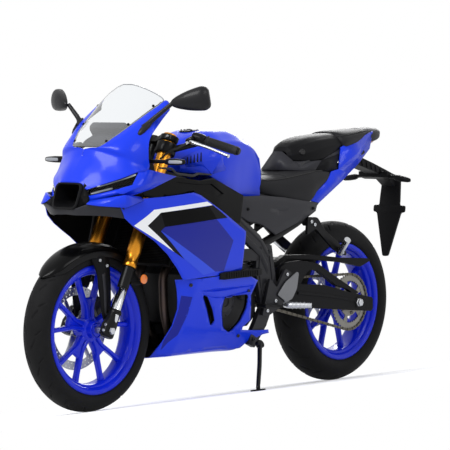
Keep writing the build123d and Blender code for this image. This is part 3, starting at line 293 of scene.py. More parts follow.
def clear_plastic(name, tint, thin=0.1, ior=1.45):
    """Clear moulded plastic: mostly see-through, with a tint and a sharp gloss that grows at grazing
    angles."""
    material, tree = tree_of(name)
    place = add(tree, "TexCoord")
    wave = add(tree, "TexNoise", {"Vector": place.outputs["Object"]}, scale=9.0, detail=1.0)
    relief = add(tree, "Bump", {"Height": wave}, strength=0.02, distance=0.002)
    through = add(tree, "BsdfTransparent", color=colour(tint))
    shine = add(tree, "BsdfGlossy", {"Normal": relief}, color=colour("FFFFFF"), roughness=0.03)
    milk = add(tree, "BsdfDiffuse", color=colour("E8EAEC"))
    film = add(tree, "MixShader", {1: through, 2: milk})
    film.inputs[0].default_value = thin
    angle = add(tree, "Fresnel", {"Normal": relief}, ior=ior)
    add(tree, "OutputMaterial", {"Surface": add(tree, "MixShader", {0: angle, 1: film, 2: shine})})
    return material


# ---------------------------------------------------------------- shapes
# A patch is its points in upright millimetres and its faces. piece() joins patches into one mesh.

# points closer than this, in metres, are welded
WELD = 0.00002
# the radius in mm at which a turned profile closes on its axis
POLE = 0.01
# a direction that no bar runs along, from which a bar's section gets its first axis
SKEW = (0.31, 0.52, 0.79)


def grid(points, round_rows=False, round_columns=False):
    """A patch of quads over a grid of points; a round side also joins its last line to its first."""
    rows, columns = points.shape[:2]
    row = np.arange(rows if round_rows else rows - 1)[:, None]
    column = np.arange(columns if round_columns else columns - 1)[None, :]
    next_row, next_column = (row + 1) % rows, (column + 1) % columns
    corners = (
        row * columns + column, next_row * columns + column, next_row * columns + next_column,
        row * columns + next_column)
    quads = np.stack(np.broadcast_arrays(*corners), -1).reshape(-1, 4)
    return points.reshape(-1, 3), quads.tolist()


def smooth(points, steps, breaks=()):
    """Cubic arcs through the control points along the first axis. The slope at a point is the mean of
    its two chords, weighted by their lengths; at a break each side keeps its own slope, which leaves
    a crease."""
    points = np.asarray(points, float)
    gaps = np.diff(points, axis=0)
    spans = len(gaps)
    length = np.sqrt(np.linalg.norm(gaps.reshape(spans, -1, points.shape[-1]), axis=-1).mean(1)) + 1e-9
    length = length.reshape((spans,) + (1,) * (points.ndim - 1))
    chord = gaps / length
    middle = (chord[:-1] * length[1:] + chord[1:] * length[:-1]) / (length[1:] + length[:-1])
    leave = np.concatenate([chord[:1], middle])
    reach = np.concatenate([middle, chord[-1:]])
    for index in breaks:
        leave[index] = chord[index]
        reach[index - 1] = chord[index - 1]
    t = np.linspace(0, 1, steps, endpoint=False).reshape((1, steps) + (1,) * (points.ndim - 1))
    start, end = points[:-1, None], points[1:, None]
    leave, reach = (leave * length)[:, None], (reach * length)[:, None]
    arcs = (
        start * (2 * t ** 3 - 3 * t ** 2 + 1) + end * (3 * t ** 2 - 2 * t ** 3)
            + leave * (t ** 3 - 2 * t ** 2 + t) + reach * (t ** 3 - t ** 2))
    return np.concatenate([arcs.reshape((-1,) + points.shape[1:]), points[-1:]])


def net(rows, row_steps, column_steps, row_breaks=(), column_breaks=()):
    """A grid through the control rows, then through the control columns."""
    down = smooth(rows, row_steps, row_breaks)
    return np.swapaxes(smooth(np.swapaxes(down, 0, 1), column_steps, column_breaks), 0, 1)


def half_body(rows, row_steps, column_steps, row_breaks=(), column_breaks=()):
    """Half a body from rows of x and (y, z) points, on cubic arcs both ways."""
    points = np.array([[(x, y, z) for y, z in outline] for x, *outline in rows], float)
    return net(points, row_steps, column_steps, row_breaks, column_breaks)


def loft(rows, round_rows=False):
    """Closed sections joined in order, with a fan over each open end."""
    rows = np.asarray(rows, float)
    points, faces = grid(rows, round_rows=round_rows, round_columns=True)
    if not round_rows:
        count = rows.shape[1]
        last = (len(rows) - 1) * count
        faces = faces + [list(range(count))[::-1], [last + index for index in range(count)]]
    return points, faces


def plate(outline, low, high):
    """A side-view outline of (x, z) points given a thickness from y low to y high."""
    outline = np.asarray(outline, float)
    side = [np.insert(outline, 1, y, axis=1) for y in (low, high)]
    return loft(side)


def arc(start, corner, end, steps):
    """Points of the quadratic arc from start to end whose tangents meet at the corner."""
    return [
        start * (1 - t) ** 2 + 2 * corner * t * (1 - t) + end * t ** 2 for t in np.linspace(0, 1, steps)]


def rounded(corners, radius, steps=5):
    """A closed outline whose corners are cut back by the radius and rounded with quadratic arcs."""
    corners = np.asarray(corners, float)
    outline = []
    for index, here in enumerate(corners):
        before, after = corners[index - 1] - here, corners[(index + 1) % len(corners)] - here
        start, end = (
            here + unit(side) * min(radius, 0.48 * np.linalg.norm(side)) for side in (before, after))
        outline += arc(start, here, end, steps)
    return np.array(outline)


def spun(profile, centre, axis=(0, 1, 0), count=96, ring=False):
    """A profile of (radius, place along the axis) carried round the axis; ring closes the profile on
    itself."""
    axis = unit(np.array(axis, float))
    first = unit(np.cross(axis, [0, 0, 1] if abs(axis[2]) < 0.9 else [1, 0, 0]))
    second = np.cross(axis, first)
    angle = circle(count)[:, None, None]
    profile = np.asarray(profile, float)
    radius, along = profile[None, :, 0:1], profile[None, :, 1:2]
    points = centre + radius * (np.cos(angle) * first + np.sin(angle) * second) + along * axis
    return grid(points, round_rows=True, round_columns=ring)


def tube(points, radius, corner=20.0, count=16, steps=6):
    """A round bar along a route. Each corner is cut back by the given length and rounded with a
    quadratic arc; the ends are closed. The radius may be one value or one for each point of the
    route."""
    points = np.asarray(points, float)
    radii = np.broadcast_to(np.asarray(radius, float), (len(points),))
    path, wide = [points[0]], [radii[0]]
    for index in range(1, len(points) - 1):
        here = points[index]
        before, after = points[index - 1] - here, points[index + 1] - here
        cut = min(corner, 0.45 * np.linalg.norm(before), 0.45 * np.linalg.norm(after))
        path += arc(here + unit(before) * cut, here, here + unit(after) * cut, steps)
        wide += [radii[index]] * steps
    path, wide = np.array(path + [points[-1]]), np.array(wide + [radii[-1]])
    along = np.gradient(path, axis=0)
    along /= np.linalg.norm(along, axis=1)[:, None]
    angle = circle(count)
    first = np.cross(along[0], SKEW)
    rows = []
    for here, ahead, size in zip(path, along, wide):
        first = unit(first - ahead * (first @ ahead))
        second = np.cross(ahead, first)
        rows.append(here + size * (np.cos(angle)[:, None] * first + np.sin(angle)[:, None] * second))
    return loft(rows)


def rib(x, half, low, high, inner, outer):
    """An upright rib of the side view, from y inner to y outer."""
    return plate([(x - half, low), (x - half, high), (x + half, high), (x + half, low)], inner, outer)


def screw(place, axis=(0, 1, 0), size=6.0):
    """A socket-head screw: a chamfered head over its seat with a six-sided recess."""
    return spun(
        [(POLE, size * 0.35), (size * 0.5, size * 0.35), (size * 0.5, size * 0.75),
         (size * 0.85, size * 0.75), (size, size * 0.6), (size, -size * 0.3), (POLE, -size * 0.3)],
        np.array(place, float), axis, 18)


def facets(corners, faces):
    """A patch of flat facets between named corners."""
    names = list(corners)
    return np.array([corners[name] for name in names], float), [
        [names.index(corner) for corner in face] for face in faces]


def facing(patch, inside):
    """The patch with its quads turned so that most of them look away from the inside point."""
    points, faces = patch
    corners = points[np.array([face[:3] for face in faces])]
    normals = np.cross(corners[:, 1] - corners[:, 0], corners[:, 2] - corners[:, 0])
    outward = (normals * (corners.mean(1) - inside)).sum()
    return (points, faces) if outward > 0 else (points, [face[::-1] for face in faces])


def facing_each(patch, inside):
    """A faceted patch, one face at a time turned away from the inside point."""
    points, faces = patch
    turned = []
    for face in faces:
        a, b, c = points[face[0]], points[face[1]], points[face[2]]
        turned.append(face if np.cross(b - a, c - a) @ (points[face].mean(0) - inside) > 0 else face[::-1])
    return points, turned


def faceted(corners, faces, inside):
    """Flat facets between named corners on the left, turned away from the inside, and their mirror."""
    return two_sided([facing_each(facets(corners, faces), inside)])


def mirrored(patch):
    """The same patch on the machine's other side, its faces still outward."""
    points, faces = patch
    return points * [1, -1, 1], [face[::-1] for face in faces]


def two_sided(patches):
    """Patches of the left side, then their mirror images."""
    return patches + [mirrored(patch) for patch in patches]


def sided(patches, side):
    """Patches of the left side as they are for side 1, mirrored for side -1."""
    return patches if side > 0 else [mirrored(patch) for patch in patches]


def both(patch, inside):
    """An outward patch of the left half and its mirror image."""
    return two_sided([facing(patch, inside)])


def moved(patch, step):
    """The patch moved by a step."""
    return patch[0] + step, patch[1]


def radial_bar(stations):
    """A flat bar along x: at each station its place, half width, and outer and inner y."""
    return loft([
        [(r, out, -w), (r, out, w), (r, inner, w), (r, inner, -w)] for r, w, out, inner in stations])


def turned(patch, centre, degrees):
    """The patch turned about the line across the machine through the centre."""
    points, faces = patch
    angle = math.radians(degrees)
    spin = np.array([
        [math.cos(angle), 0, -math.sin(angle)], [0, 1, 0], [math.sin(angle), 0, math.cos(angle)]])
    return (points - centre) @ spin.T + centre, faces


def stood_out(x, z, out, proud):
    """Points of the side view at x and z, stood out to the surface and proud of it."""
    return np.stack([x, out(x, z) + proud, z], -1)


def within(points, outline):
    """Which (x, z) points lie inside the outline, by counting the edges crossed."""
    inside = np.zeros(len(points), bool)
    for a, b in zip(outline, np.roll(outline, -1, axis=0)):
        crosses = (a[1] > points[:, 1]) != (b[1] > points[:, 1])
        rise = b[1] - a[1] if b[1] != a[1] else 1e-9
        inside ^= crosses & (points[:, 0] < a[0] + (points[:, 1] - a[1]) / rise * (b[0] - a[0]))
    return inside


def table_out(table, heights):
    """A surface whose distance out is read, straight, between the stations of x and the heights."""
    stations = np.array([row[0] for row in table], float)
    values = np.array([row[1] for row in table], float)

    def out(x, z):
        columns = np.array([np.interp(z, heights, row) for row in values])
        place = np.clip(np.interp(x, stations, np.arange(len(stations))), 0, len(stations) - 1.001)
        low = place.astype(int)
        each = np.arange(len(x))
        return columns[low, each] * (1 - place + low) + columns[low + 1, each] * (place - low)
    return out


def cut_sheet(outline, out, holes=(), lines=(), pitch=13.0):
    """A side-view outline laid on a surface as a triangle net with holes. Extra lines are kept as
    edges."""
    loops = [np.asarray(loop, float) for loop in (outline, *holes, *lines)]
    low, high = loops[0].min(0), loops[0].max(0)
    x, z = np.meshgrid(np.arange(low[0], high[0], pitch), np.arange(low[1], high[1], pitch))
    x[1::2] += pitch / 2
    lattice = np.stack([x.ravel(), z.ravel()], -1)
    near = np.concatenate([
        a + (b - a) * t for loop in loops for a, b in [(loop, np.roll(loop, -1, axis=0))]
        for t in (0, 0.25, 0.5, 0.75)])
    apart = np.linalg.norm(lattice[:, None] - near[None], axis=2).min(1) > pitch * 0.45
    lattice = lattice[apart & within(lattice, loops[0])]
    corners, edges = [], []
    for loop in loops:
        start = len(corners)
        corners += loop.tolist()
        edges += [(start + k, start + (k + 1) % len(loop)) for k in range(len(loop))]
    corners += lattice.tolist()
    made = delaunay_2d_cdt([Vector(corner) for corner in corners], edges, [], 0, 1e-4)
    flat = np.array([tuple(corner) for corner in made[0]])
    faces = np.array([tuple(face) for face in made[2]])
    middles = flat[faces].mean(1)
    keep = within(middles, loops[0])
    for hole in loops[1:1 + len(holes)]:
        keep &= ~within(middles, hole)
    a, b, c = (flat[faces[:, k]] for k in range(3))
    turn = (b - a)[:, 0] * (c - a)[:, 1] - (b - a)[:, 1] * (c - a)[:, 0]
    faces[turn > 0] = faces[turn > 0][:, ::-1]
    return stood_out(flat[:, 0], flat[:, 1], out, 0.0), faces[keep].tolist()


def piece(
        name, patches, material, replaced=(), body="chassis", closed=True, wall=0, bevel=0,
        sharp=40, level=0, inner=None):
    """Patches joined into one mesh of the frame. A closed shell gets its normals recalculated; an
    open sheet keeps its own, and a wall behind it in mm makes any piece open. Edges sharper than the
    angle stay sharp."""
    points, faces, start = [], [], 0
    for more_points, more_faces in patches:
        points.append(np.asarray(more_points, float))
        faces += [[corner + start for corner in face] for face in more_faces]
        start += len(more_points)
    mesh = bpy.data.meshes.new(name)
    mesh.from_pydata(bike(np.concatenate(points)).tolist(), [], faces)
    mesh.materials.append(material)
    shape = bmesh.new()
    shape.from_mesh(mesh)
    bmesh.ops.remove_doubles(shape, verts=shape.verts, dist=WELD)
    bmesh.ops.dissolve_degenerate(shape, edges=shape.edges, dist=WELD)
    if closed and not wall:
        bmesh.ops.recalc_face_normals(shape, faces=shape.faces)
    shape.to_mesh(mesh)
    shape.free()
    made = bpy.data.objects.new(name, mesh)
    bpy.context.scene.collection.objects.link(made)
    mesh.shade_smooth()
    mesh.set_sharp_from_angle(angle=math.radians(sharp))
    if wall:
        shell = made.modifiers.new("wall", "SOLIDIFY")
        shell.thickness, shell.offset, shell.use_even_offset = wall / 1000, -1, False
        if inner:
            mesh.materials.append(inner)
            shell.material_offset = 1
    if bevel:
        edge = made.modifiers.new("edge", "BEVEL")
        edge.width, edge.segments, edge.limit_method = bevel / 1000, 2, "ANGLE"
        edge.angle_limit = math.radians(sharp)
        edge.harden_normals = True
    if level:
        finer = made.modifiers.new("finer", "SUBSURF")
        finer.levels = finer.render_levels = level
    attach(made, body)
    if replaced:
        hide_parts(*replaced)
    return made


# ---------------------------------------------------------------- tyres
# Radial road tyres of black rubber, moulded with slanted rain grooves that leave the middle of the
# tread whole. Dust lies on them in soft clouds.
TREAD_ROWS = 1080
GROOVE_DEPTH = 3.2
GROOVE_PITCHES = 18
# how fast a groove fades in and out along its length
GROOVE_FADE = 12
# where a groove's banks end, in its own half widths
GROOVE_BANK = 1.6
# from the crown to the tyre's inner face, in mm
CASING = 16
RIM_SEAT = 216.5
RIM_FLANGE = 232.0
# from the crown to the bead: share of the half width, share of the height over the rim flange
TYRE_SIDE = (
    (0.0, 1.0), (0.22, 0.985), (0.44, 0.925), (0.66, 0.82), (0.85, 0.66), (0.965, 0.47), (0.985, 0.30),
    (0.93, 0.12), (0.80, 0.0))


def tyre(radius, half_width, centre, flip):
    """Half a section through TYRE_SIDE, mirrored, carried round the axle. A groove lies where a point
    is near a slanted line: its angle is the pitch's start plus a slope times its distance from the
    middle."""
    side = np.array([
        (share * half_width, RIM_FLANGE + height * (radius - RIM_FLANGE)) for share, height in TYRE_SIDE])
    side = smooth(side, 5)
    across = np.concatenate([-side[::-1, 0], side[1:, 0]])
    out = np.concatenate([side[::-1, 1], side[1:, 1]])
    turn = circle(TREAD_ROWS)
    pitch = 2 * math.pi / GROOVE_PITCHES
    level = np.abs(across)[None, :] / half_width
    groove = np.zeros((TREAD_ROWS, len(across)))
    # share of a pitch at the start, slope, nearest and furthest share of the half width, half width in mm
    for start, slope, near, far, half in ((0.0, 0.9, 0.10, 0.52, 2.4), (0.45, 0.55, 0.42, 0.84, 2.0)):
        offset = np.where(across > 0, 0.5, 0.0)[None, :]
        line = (turn[:, None] / pitch - offset - start - flip * slope * (level - near)) % 1.0
        distance = np.minimum(line, 1 - line) * pitch * radius / math.sqrt(
            1 + (slope * pitch * radius / half_width) ** 2)
        reach = np.clip((level - near) * GROOVE_FADE, 0, 1) * np.clip((far - level) * GROOVE_FADE, 0, 1)
        groove = np.maximum(groove, np.clip(GROOVE_BANK - distance / half, 0, 1) * reach)
    wide = out[None, :] - GROOVE_DEPTH * groove
    ring = np.stack(
        [wide * np.cos(turn)[:, None], np.broadcast_to(across, wide.shape), wide * np.sin(turn)[:, None]],
        -1)
    tread = grid(ring + centre, round_rows=True)
    inner = [
        (side[-1, 1], across[-1]), (RIM_SEAT, across[-1] - 1), (RIM_SEAT, across[-1] - 9),
        (radius - CASING, half_width * 0.5), (radius - CASING, -half_width * 0.5),
        (RIM_SEAT, across[0] + 9), (RIM_SEAT, across[0] + 1), (side[-1, 1], across[0])]
    return [tread, spun(inner, centre, count=216)]


# moulded rubber: matt, with a bloom of dust in soft clouds and a grain of about 1 mm
rubber = skin(
    "tyre_rubber_moulded", "0B0B0C", "161617", (38.0, 6.0), {"scale": 900.0, "detail": 3.0}, 0.12, 0.0006,
    0.7, 0.12)

FRONT_CENTRE = np.array([WHEELBASE, 0, FRONT_RADIUS])
REAR_CENTRE = np.array([0, 0, REAR_RADIUS])
for where, radius, half, centre, flip in (
        ("front", FRONT_RADIUS, 55, FRONT_CENTRE, 1), ("rear", REAR_RADIUS, 70, REAR_CENTRE, -1)):
    patches = tyre(radius, half, centre, flip)
    piece(where + "_road_tyre", patches, rubber, [where + "_tyre"], body=where + "_wheel")

# ---------------------------------------------------------------- wheels
# Cast aluminium wheels with five forked spokes, in blue paint under lacquer. The casting skin is
# smooth, with a soft base gloss and a thin clear coat over it.
wheel_blue = lacquer("cast_alloy_blue_paint", "0B28D4", "0A20BE", 0.3, 0.25)
RIM_PROFILE = ((231, -3), (229, 2), (224, 4.5), (215, 3.5), (209, -2), (205, -11), (197, -16), (194, -22))
SPOKES = 5
SPOKE_START = 18.0
BARREL_RADIUS = 216.2
# the web between a spoke's two branches: radius, half width, half depth
WEB_ROWS = ((36, 12, 11), (70, 9, 10), (96, 13, 9), (108, 20, 8), (112, 18, 4))
# along the spoke: radius, side step, half width, half depth
ARM_ROWS = (
    (34, 9, 11, 19), (58, 11, 10, 17), (84, 15, 9, 15), (118, 29, 8.5, 13), (160, 45, 8.5, 12),
    (199, 60, 11, 14))


def spoke_arm(centre, side):
    """One branch of a forked spoke: eight-sided sections, flat in front with broad chamfers, along a
    path that leaves the hub beside its twin and bends away to the rim."""
    path = smooth(np.array([(r, side * s) for r, s, _, _ in ARM_ROWS], float), 4)
    size = smooth(np.array([(w, d) for _, _, w, d in ARM_ROWS], float), 4)
    step = np.gradient(path, axis=0)
    step /= np.linalg.norm(step, axis=1)[:, None]
    rows = []
    for (along, beside), (forward, aside), (half, deep) in zip(path, step, size):
        section = []
        for out, depth in (
                (1, 0.55), (0.55, 1), (-0.55, 1), (-1, 0.55), (-1, -0.55), (-0.55, -1), (0.55, -1),
                (1, -0.55)):
            section.append((along - aside * out * half, depth * deep, beside + forward * out * half))
        rows.append(section)
    return moved(loft(rows), centre)


def wheel(centre, half_width, hub_half, hub_radius):
    """Barrel and lips, a five-lobed hub with bearing bosses, and the forked spokes with a pocketed
    web."""
    side = [(radius, half_width + along) for radius, along in RIM_PROFILE]
    inner = [(radius, -along) for radius, along in side[::-1]]
    outer = [(BARREL_RADIUS, -half_width + 1), (BARREL_RADIUS, half_width - 1)]
    patches = [spun(side + inner + outer, centre, count=180, ring=True)]
    boss = [
        (9.2, hub_half), (hub_radius - 8, hub_half), (hub_radius - 7, hub_half - 5),
        (hub_radius - 3, hub_half - 5), (hub_radius - 2, hub_half), (hub_radius, hub_half - 2),
        (hub_radius + 1, 22), (hub_radius + 14, 16)]
    patches.append(spun(boss + [(r, -a) for r, a in boss[::-1]], centre, count=80, ring=True))
    for index in range(SPOKES):
        angle = SPOKE_START + index * 360 / SPOKES
        web = moved(radial_bar([(r, w, d, -d) for r, w, d in WEB_ROWS]), centre)
        for patch in (spoke_arm(centre, 1), spoke_arm(centre, -1), web):
            patches.append(turned(patch, centre, angle))
    return patches


for where, patches in (
        ("front", wheel(FRONT_CENTRE, 44, 46, 30)), ("rear", wheel(REAR_CENTRE, 57, 74, 36))):
    piece(
        where + "_wheel_casting", patches, wheel_blue, [where + "_rim"],
        body=where + "_wheel", bevel=1.6, sharp=32)

# a bent valve of bright steel on each rim
bright_steel = metal("steel_zinc_bright", "C4C6CA", "A8AAAE", 0.24)
for body, centre, half in (("front_wheel", FRONT_CENTRE, 44), ("rear_wheel", REAR_CENTRE, 57)):
    valve = tube([(192, 0, 0), (176, 0, 0), (164, -half * 0.35, 0)], (4.5, 4.0, 3.6), 6)
    piece(body + "_valve", [turned(moved(valve, centre), centre, 54)], bright_steel, body=body)

# ---------------------------------------------------------------- brakes
# Laser-cut stainless discs: the swept ring shows fine circular grinding and has rows of drilled holes.
# A cast caliper, anodised dark grey, holds the front disc behind the right fork leg.

# the share of a column by which each row of holes runs ahead of the row inside it
STAGGER = 0.37
RING_WIDTH, RING_THICKNESS = 31, 4.5
HOLE_COLUMNS, HOLE_ROWS, HOLE_RADIUS = 45, 2, 3.2


def drilled_ring(centre, y, inside, outside, columns, rows, hole, thickness):
    """A flat ring made of cells. Each cell joins its own outline to a round hole, sixteen points
    each, front and back, with the hole's wall between; the rows of holes are staggered."""
    corner = [
        (-1, -1), (-0.5, -1), (0, -1), (0.5, -1), (1, -1), (1, -0.5), (1, 0), (1, 0.5), (1, 1), (0.5, 1),
        (0, 1), (-0.5, 1), (-1, 1), (-1, 0.5), (-1, 0), (-1, -0.5)]
    patches = []
    height = (outside - inside) / rows
    for row in range(rows):
        middle = inside + (row + 0.5) * height
        for column in range(columns):
            start = (column + STAGGER * row) * 2 * math.pi / columns
            rim, bore = [], []
            for across, out in corner:
                radius = middle + out * height / 2
                angle = start + across * math.pi / columns + STAGGER * (out + 1) * math.pi / columns
                rim.append((radius, angle))
                turn = math.atan2(out, across)
                bore.append((
                    middle + hole * math.sin(turn),
                    start + STAGGER * math.pi / columns + hole * math.cos(turn) / middle))
            ring = np.array(rim + bore)
            radius, angle = ring.T
            flat = np.stack([radius * np.cos(angle), 0 * angle, radius * np.sin(angle)], -1) + centre
            front, rear = flat + [0, y + thickness / 2, 0], flat + [0, y - thickness / 2, 0]
            levels = [front[:16], front[16:], rear[16:], rear[:16]]
            patches.append(grid(np.array(levels), round_columns=True))
    edge = [(inside, y + thickness / 2), (inside, y - thickness / 2)]
    patches.append(spun(edge, centre, count=columns * 4))
    patches.append(spun(
        [(outside, y - thickness / 2), (outside, y + thickness / 2)], centre, count=columns * 4))
    return patches


disc_steel = metal("stainless_ground_disc", "AEB0B4", "8E9094", 0.22, 0.2, (6, 60, 6))
black_metal = metal("steel_black_powder_coat", "0C0C0E", "17171A", 0.42, 0.15, metallic=0.0)


def disc(centre, y, radius, face, bore, arms=6):
    """The drilled ring, its arms with round buttons, and the flange down to the hub's face."""
    patches = drilled_ring(
        centre, y, radius - RING_WIDTH, radius, HOLE_COLUMNS, HOLE_ROWS, HOLE_RADIUS, RING_THICKNESS)
    half = 2.2
    widths = ((bore + 6, 15), ((bore + radius) / 2 - 10, 7), (radius - 40, 8), (radius - 29, 5))
    arm = moved(radial_bar([(r, w, y + half, y - half) for r, w in widths]), centre)
    for index in range(arms):
        button = spun(
            [(POLE, y + 4), (5, y + 4), (7, y + 3), (7, y - 3), (POLE, y - 3)],
            centre + [radius - RING_WIDTH, 0, 0], count=20)
        patches += [turned(arm, centre, index * 360 / arms), turned(button, centre, index * 360 / arms)]
    low, high = sorted((y - half, face))
    patches.append(spun(
        [(bore, low), (bore + 13, low), (bore + 13, y), (bore + 11, high), (bore, high)], centre,
        count=64, ring=True))
    return patches


for where, patches in (
        ("front", disc(FRONT_CENTRE, -55.0, 149, -46, 20)),
        ("rear", disc(REAR_CENTRE, -86.0, 110, -74, 20))):
    piece(
        where + "_disc_drilled", patches, disc_steel, [where + "_brake_disc"],
        body=where + "_wheel")
caliper_grey = lacquer("caliper_cast_anodised_dark", "26262A", "1C1C20", 0.4, 0.2)
CALIPER_ANGLE = 152.0
CALIPER_HALF = (
    (-26, -44), (18, -44), (27, -34), (30, 0), (27, 34), (18, 44), (-26, 44), (-31, 30), (-31, -30))
caliper = []
for low, high in ((-50.5, -30.5), (-77.0, -59.5)):
    caliper.append(plate([(127 + a, b) for a, b in CALIPER_HALF], low, high))
caliper.append(plate([(150, -40), (157.5, -36), (157.5, 36), (150, 40)], -76, -32))
caliper += [
    spun([(POLE, -83), (15, -83), (17, -80), (17, -74), (POLE, -74)], (127, 0, offset), count=32)
    for offset in (-20, 20)]
caliper.append(plate([(118, 40), (150, 40), (128, 66), (108, 62)], -78, -70))
caliper = [turned(moved(patch, FRONT_CENTRE), FRONT_CENTRE, CALIPER_ANGLE) for patch in caliper]
piece(
    "front_caliper_body", caliper, caliper_grey, ["front_caliper"], body="steering",
    bevel=2.5)

# ---------------------------------------------------------------- chain and sprocket
# A roller chain of pressed steel links, dull from its grease, over a five-armed steel sprocket. The links
# follow the taut line round both sprockets at the chain's pitch.
CHAIN_Y = 92.0
SPROCKET_FRONT = np.array([645.0, CHAIN_Y, 395.0])
PITCH = 15.875
# a link plate's half height at its pins and at its waist, and the near and far face of an inner plate
LINK_HALF, LINK_WAIST = 5.2, 3.8
PLATE_NEAR, PLATE_FAR = 3.6, 5.0
PIN_END = 7.3
REAR_TEETH, FRONT_TEETH = 43, 14
SPROCKET_REAR = np.array([0.0, CHAIN_Y, REAR_RADIUS])
REAR_PITCH_R = PITCH / (2 * math.sin(math.pi / REAR_TEETH))
FRONT_PITCH_R = PITCH / (2 * math.sin(math.pi / FRONT_TEETH))


def taut_line():
    """The belt line round the two pitch circles: the rear arc, a tangent, the front arc and the other
    tangent, as evenly spaced points of (x, z)."""
    rear, front = SPROCKET_REAR[[0, 2]], SPROCKET_FRONT[[0, 2]]
    gap = front - rear
    tilt = math.atan2(gap[1], gap[0])
    spread = math.acos((REAR_PITCH_R - FRONT_PITCH_R) / np.linalg.norm(gap))
    back = np.linspace(tilt + spread, tilt + 2 * math.pi - spread, 120)
    ahead = np.linspace(tilt - spread, tilt + spread, 60)
    loop = np.concatenate([
        rear + REAR_PITCH_R * np.stack([np.cos(back), np.sin(back)], -1),
        front + FRONT_PITCH_R * np.stack([np.cos(ahead), np.sin(ahead)], -1)])
    loop = np.concatenate([loop, loop[:1]])
    run = np.concatenate([[0], np.cumsum(np.linalg.norm(np.diff(loop, axis=0), axis=1))])
    links = int(round(run[-1] / PITCH / 2)) * 2
    places = np.linspace(0, run[-1], links, endpoint=False)
    return np.stack([np.interp(places, run, loop[:, k]) for k in (0, 1)], -1)


def link(here, there, low, high):
    """A link plate: a waisted lozenge from pin to pin, eight points round."""
    ahead = unit(there - here)
    aside = np.array([-ahead[1], ahead[0]])
    waist = (here + there) / 2
    ring = [
        here - LINK_HALF * ahead, here + LINK_HALF * aside, waist + LINK_WAIST * aside,
        there + LINK_HALF * aside, there + LINK_HALF * ahead, there - LINK_HALF * aside,
        waist - LINK_WAIST * aside, here - LINK_HALF * aside]
    return plate(ring, low, high)


chain_steel = metal("chain_steel_greased", "6E6A62", "4A4741", 0.34)
pins = taut_line()
chain = []
for index, here in enumerate(pins):
    there = pins[(index + 1) % len(pins)]
    step = 1.6 if index % 2 else 0.0
    chain += [
        link(here, there, CHAIN_Y + PLATE_NEAR + step, CHAIN_Y + PLATE_FAR + step),
        link(here, there, CHAIN_Y - PLATE_FAR - step, CHAIN_Y - PLATE_NEAR - step)]
    chain.append(spun(
        [(POLE, -PIN_END), (2.4, -PIN_END), (2.4, -PLATE_NEAR), (4.9, -PLATE_NEAR), (4.9, PLATE_NEAR),
         (2.4, PLATE_NEAR), (2.4, PIN_END), (POLE, PIN_END)], (here[0], CHAIN_Y, here[1]), count=8))
piece("chain_links", chain, chain_steel, ["drive_chain"])

sprocket_steel = metal("sprocket_steel_black_oxide", "8A8882", "6E6C68", 0.3)
teeth = []
for index in range(REAR_TEETH * 4):
    angle = 2 * math.pi * index / (REAR_TEETH * 4)
    radius = REAR_PITCH_R + (-6.4, -1.5, 0.6, -1.5)[index % 4] - 1.2
    teeth.append((radius * math.cos(angle), radius * math.sin(angle)))
teeth = np.array(teeth)
ring = [
    np.insert(teeth * scale, 1, y, axis=1)
    for scale, y in ((0.78, 89.2), (1.0, 89.8), (1.0, 94.2), (0.78, 94.8))]
sprocket = [grid(np.array(ring) + [0, 0, REAR_RADIUS], round_columns=True, round_rows=True)]
for index in range(5):
    arm = radial_bar([(r, w, 93.5, 90.5) for r, w in ((38, 16), (60, 8), (82, 14), (88, 24))])
    sprocket.append(turned(moved(arm, REAR_CENTRE), REAR_CENTRE, index * 72))
    sprocket.append(turned(screw((46, 94.5, REAR_RADIUS), (0, 1, 0), 7), REAR_CENTRE, index * 72 + 36))
sprocket.append(spun(
    [(20, 74.2), (42, 74.2), (42, 86), (56, 90), (56, 94.5), (34, 95.5), (20, 95.5)], REAR_CENTRE,
    count=72, ring=True))
piece("rear_sprocket_teeth", sprocket, sprocket_steel, ["rear_sprocket"], body="rear_wheel")

# ---------------------------------------------------------------- paint
# Injection moulded ABS panels and a pressed steel tank in deep blue base coat under clear lacquer. The
# lacquer gives a sharp gloss over a broad soft one, with a faint orange peel of about 2 mm.
blue_paint = lacquer("abs_deep_blue_lacquer", "123AE0", "0F33D2")
pale_blue = lacquer("abs_light_blue_lacquer", "2A4CE0", "2443D4")
# dark blue lacquer for the stripe's dark field; on the belly's folded leading edge the same dark blue is
# painted shade
dark_blue_and_painted_shade = lacquer("abs_dark_blue_lacquer_and_painted_shade", "041890", "03138A")
white_film = lacquer("white_vinyl_film_lacquered", "F6F7F8", "F0F1F2", 0.4)
black_film = lacquer("black_vinyl_film_lacquered", "030304", "060607", 0.45, 0.05, 0.03)
grey_film = lacquer("dark_grey_vinyl_film_lacquered", "141416", "18181A", 0.45, 0.05, 0.05)
gloss_black = lacquer("abs_gloss_black", "030304", "060607", 0.3, 0.12, 0.04)
panel_back = lacquer("abs_moulded_back_black", "080809", "0C0C0D", 0.6, 0.0, 0.04)

# ---------------------------------------------------------------- fork
# An upside-down fork: gold anodised aluminium outers with machined rings, chromed inner tubes, and black
# cast feet with a pinch bolt that hold the axle. The two clamps are black painted castings.
RAKE = math.radians(25.0)
STEER_FOOT = WHEELBASE + 95.0


def on_steering(height, forward=0.0, left=0.0):
    """The point at a height along the steering axis, moved forward and left square to it."""
    return np.array([
        STEER_FOOT - height * math.sin(RAKE) + forward * math.cos(RAKE), left,
        height * math.cos(RAKE) + forward * math.sin(RAKE)])


STEER_UP = (-math.sin(RAKE), 0, math.cos(RAKE))
STEER_AHEAD = np.array([math.cos(RAKE), 0, math.sin(RAKE)])
FORK_Y, FORK_FORWARD = 97.0, 30.0
AXLE_HEIGHT = (FRONT_RADIUS - 37.7 * math.sin(RAKE)) / math.cos(RAKE)


def steering_plate(outline, low, high):
    """An outline of (forward, left) points square to the steering axis, from one height to another."""
    return loft([
        [on_steering(height, forward, left) for forward, left in outline] for height in (low, high)])


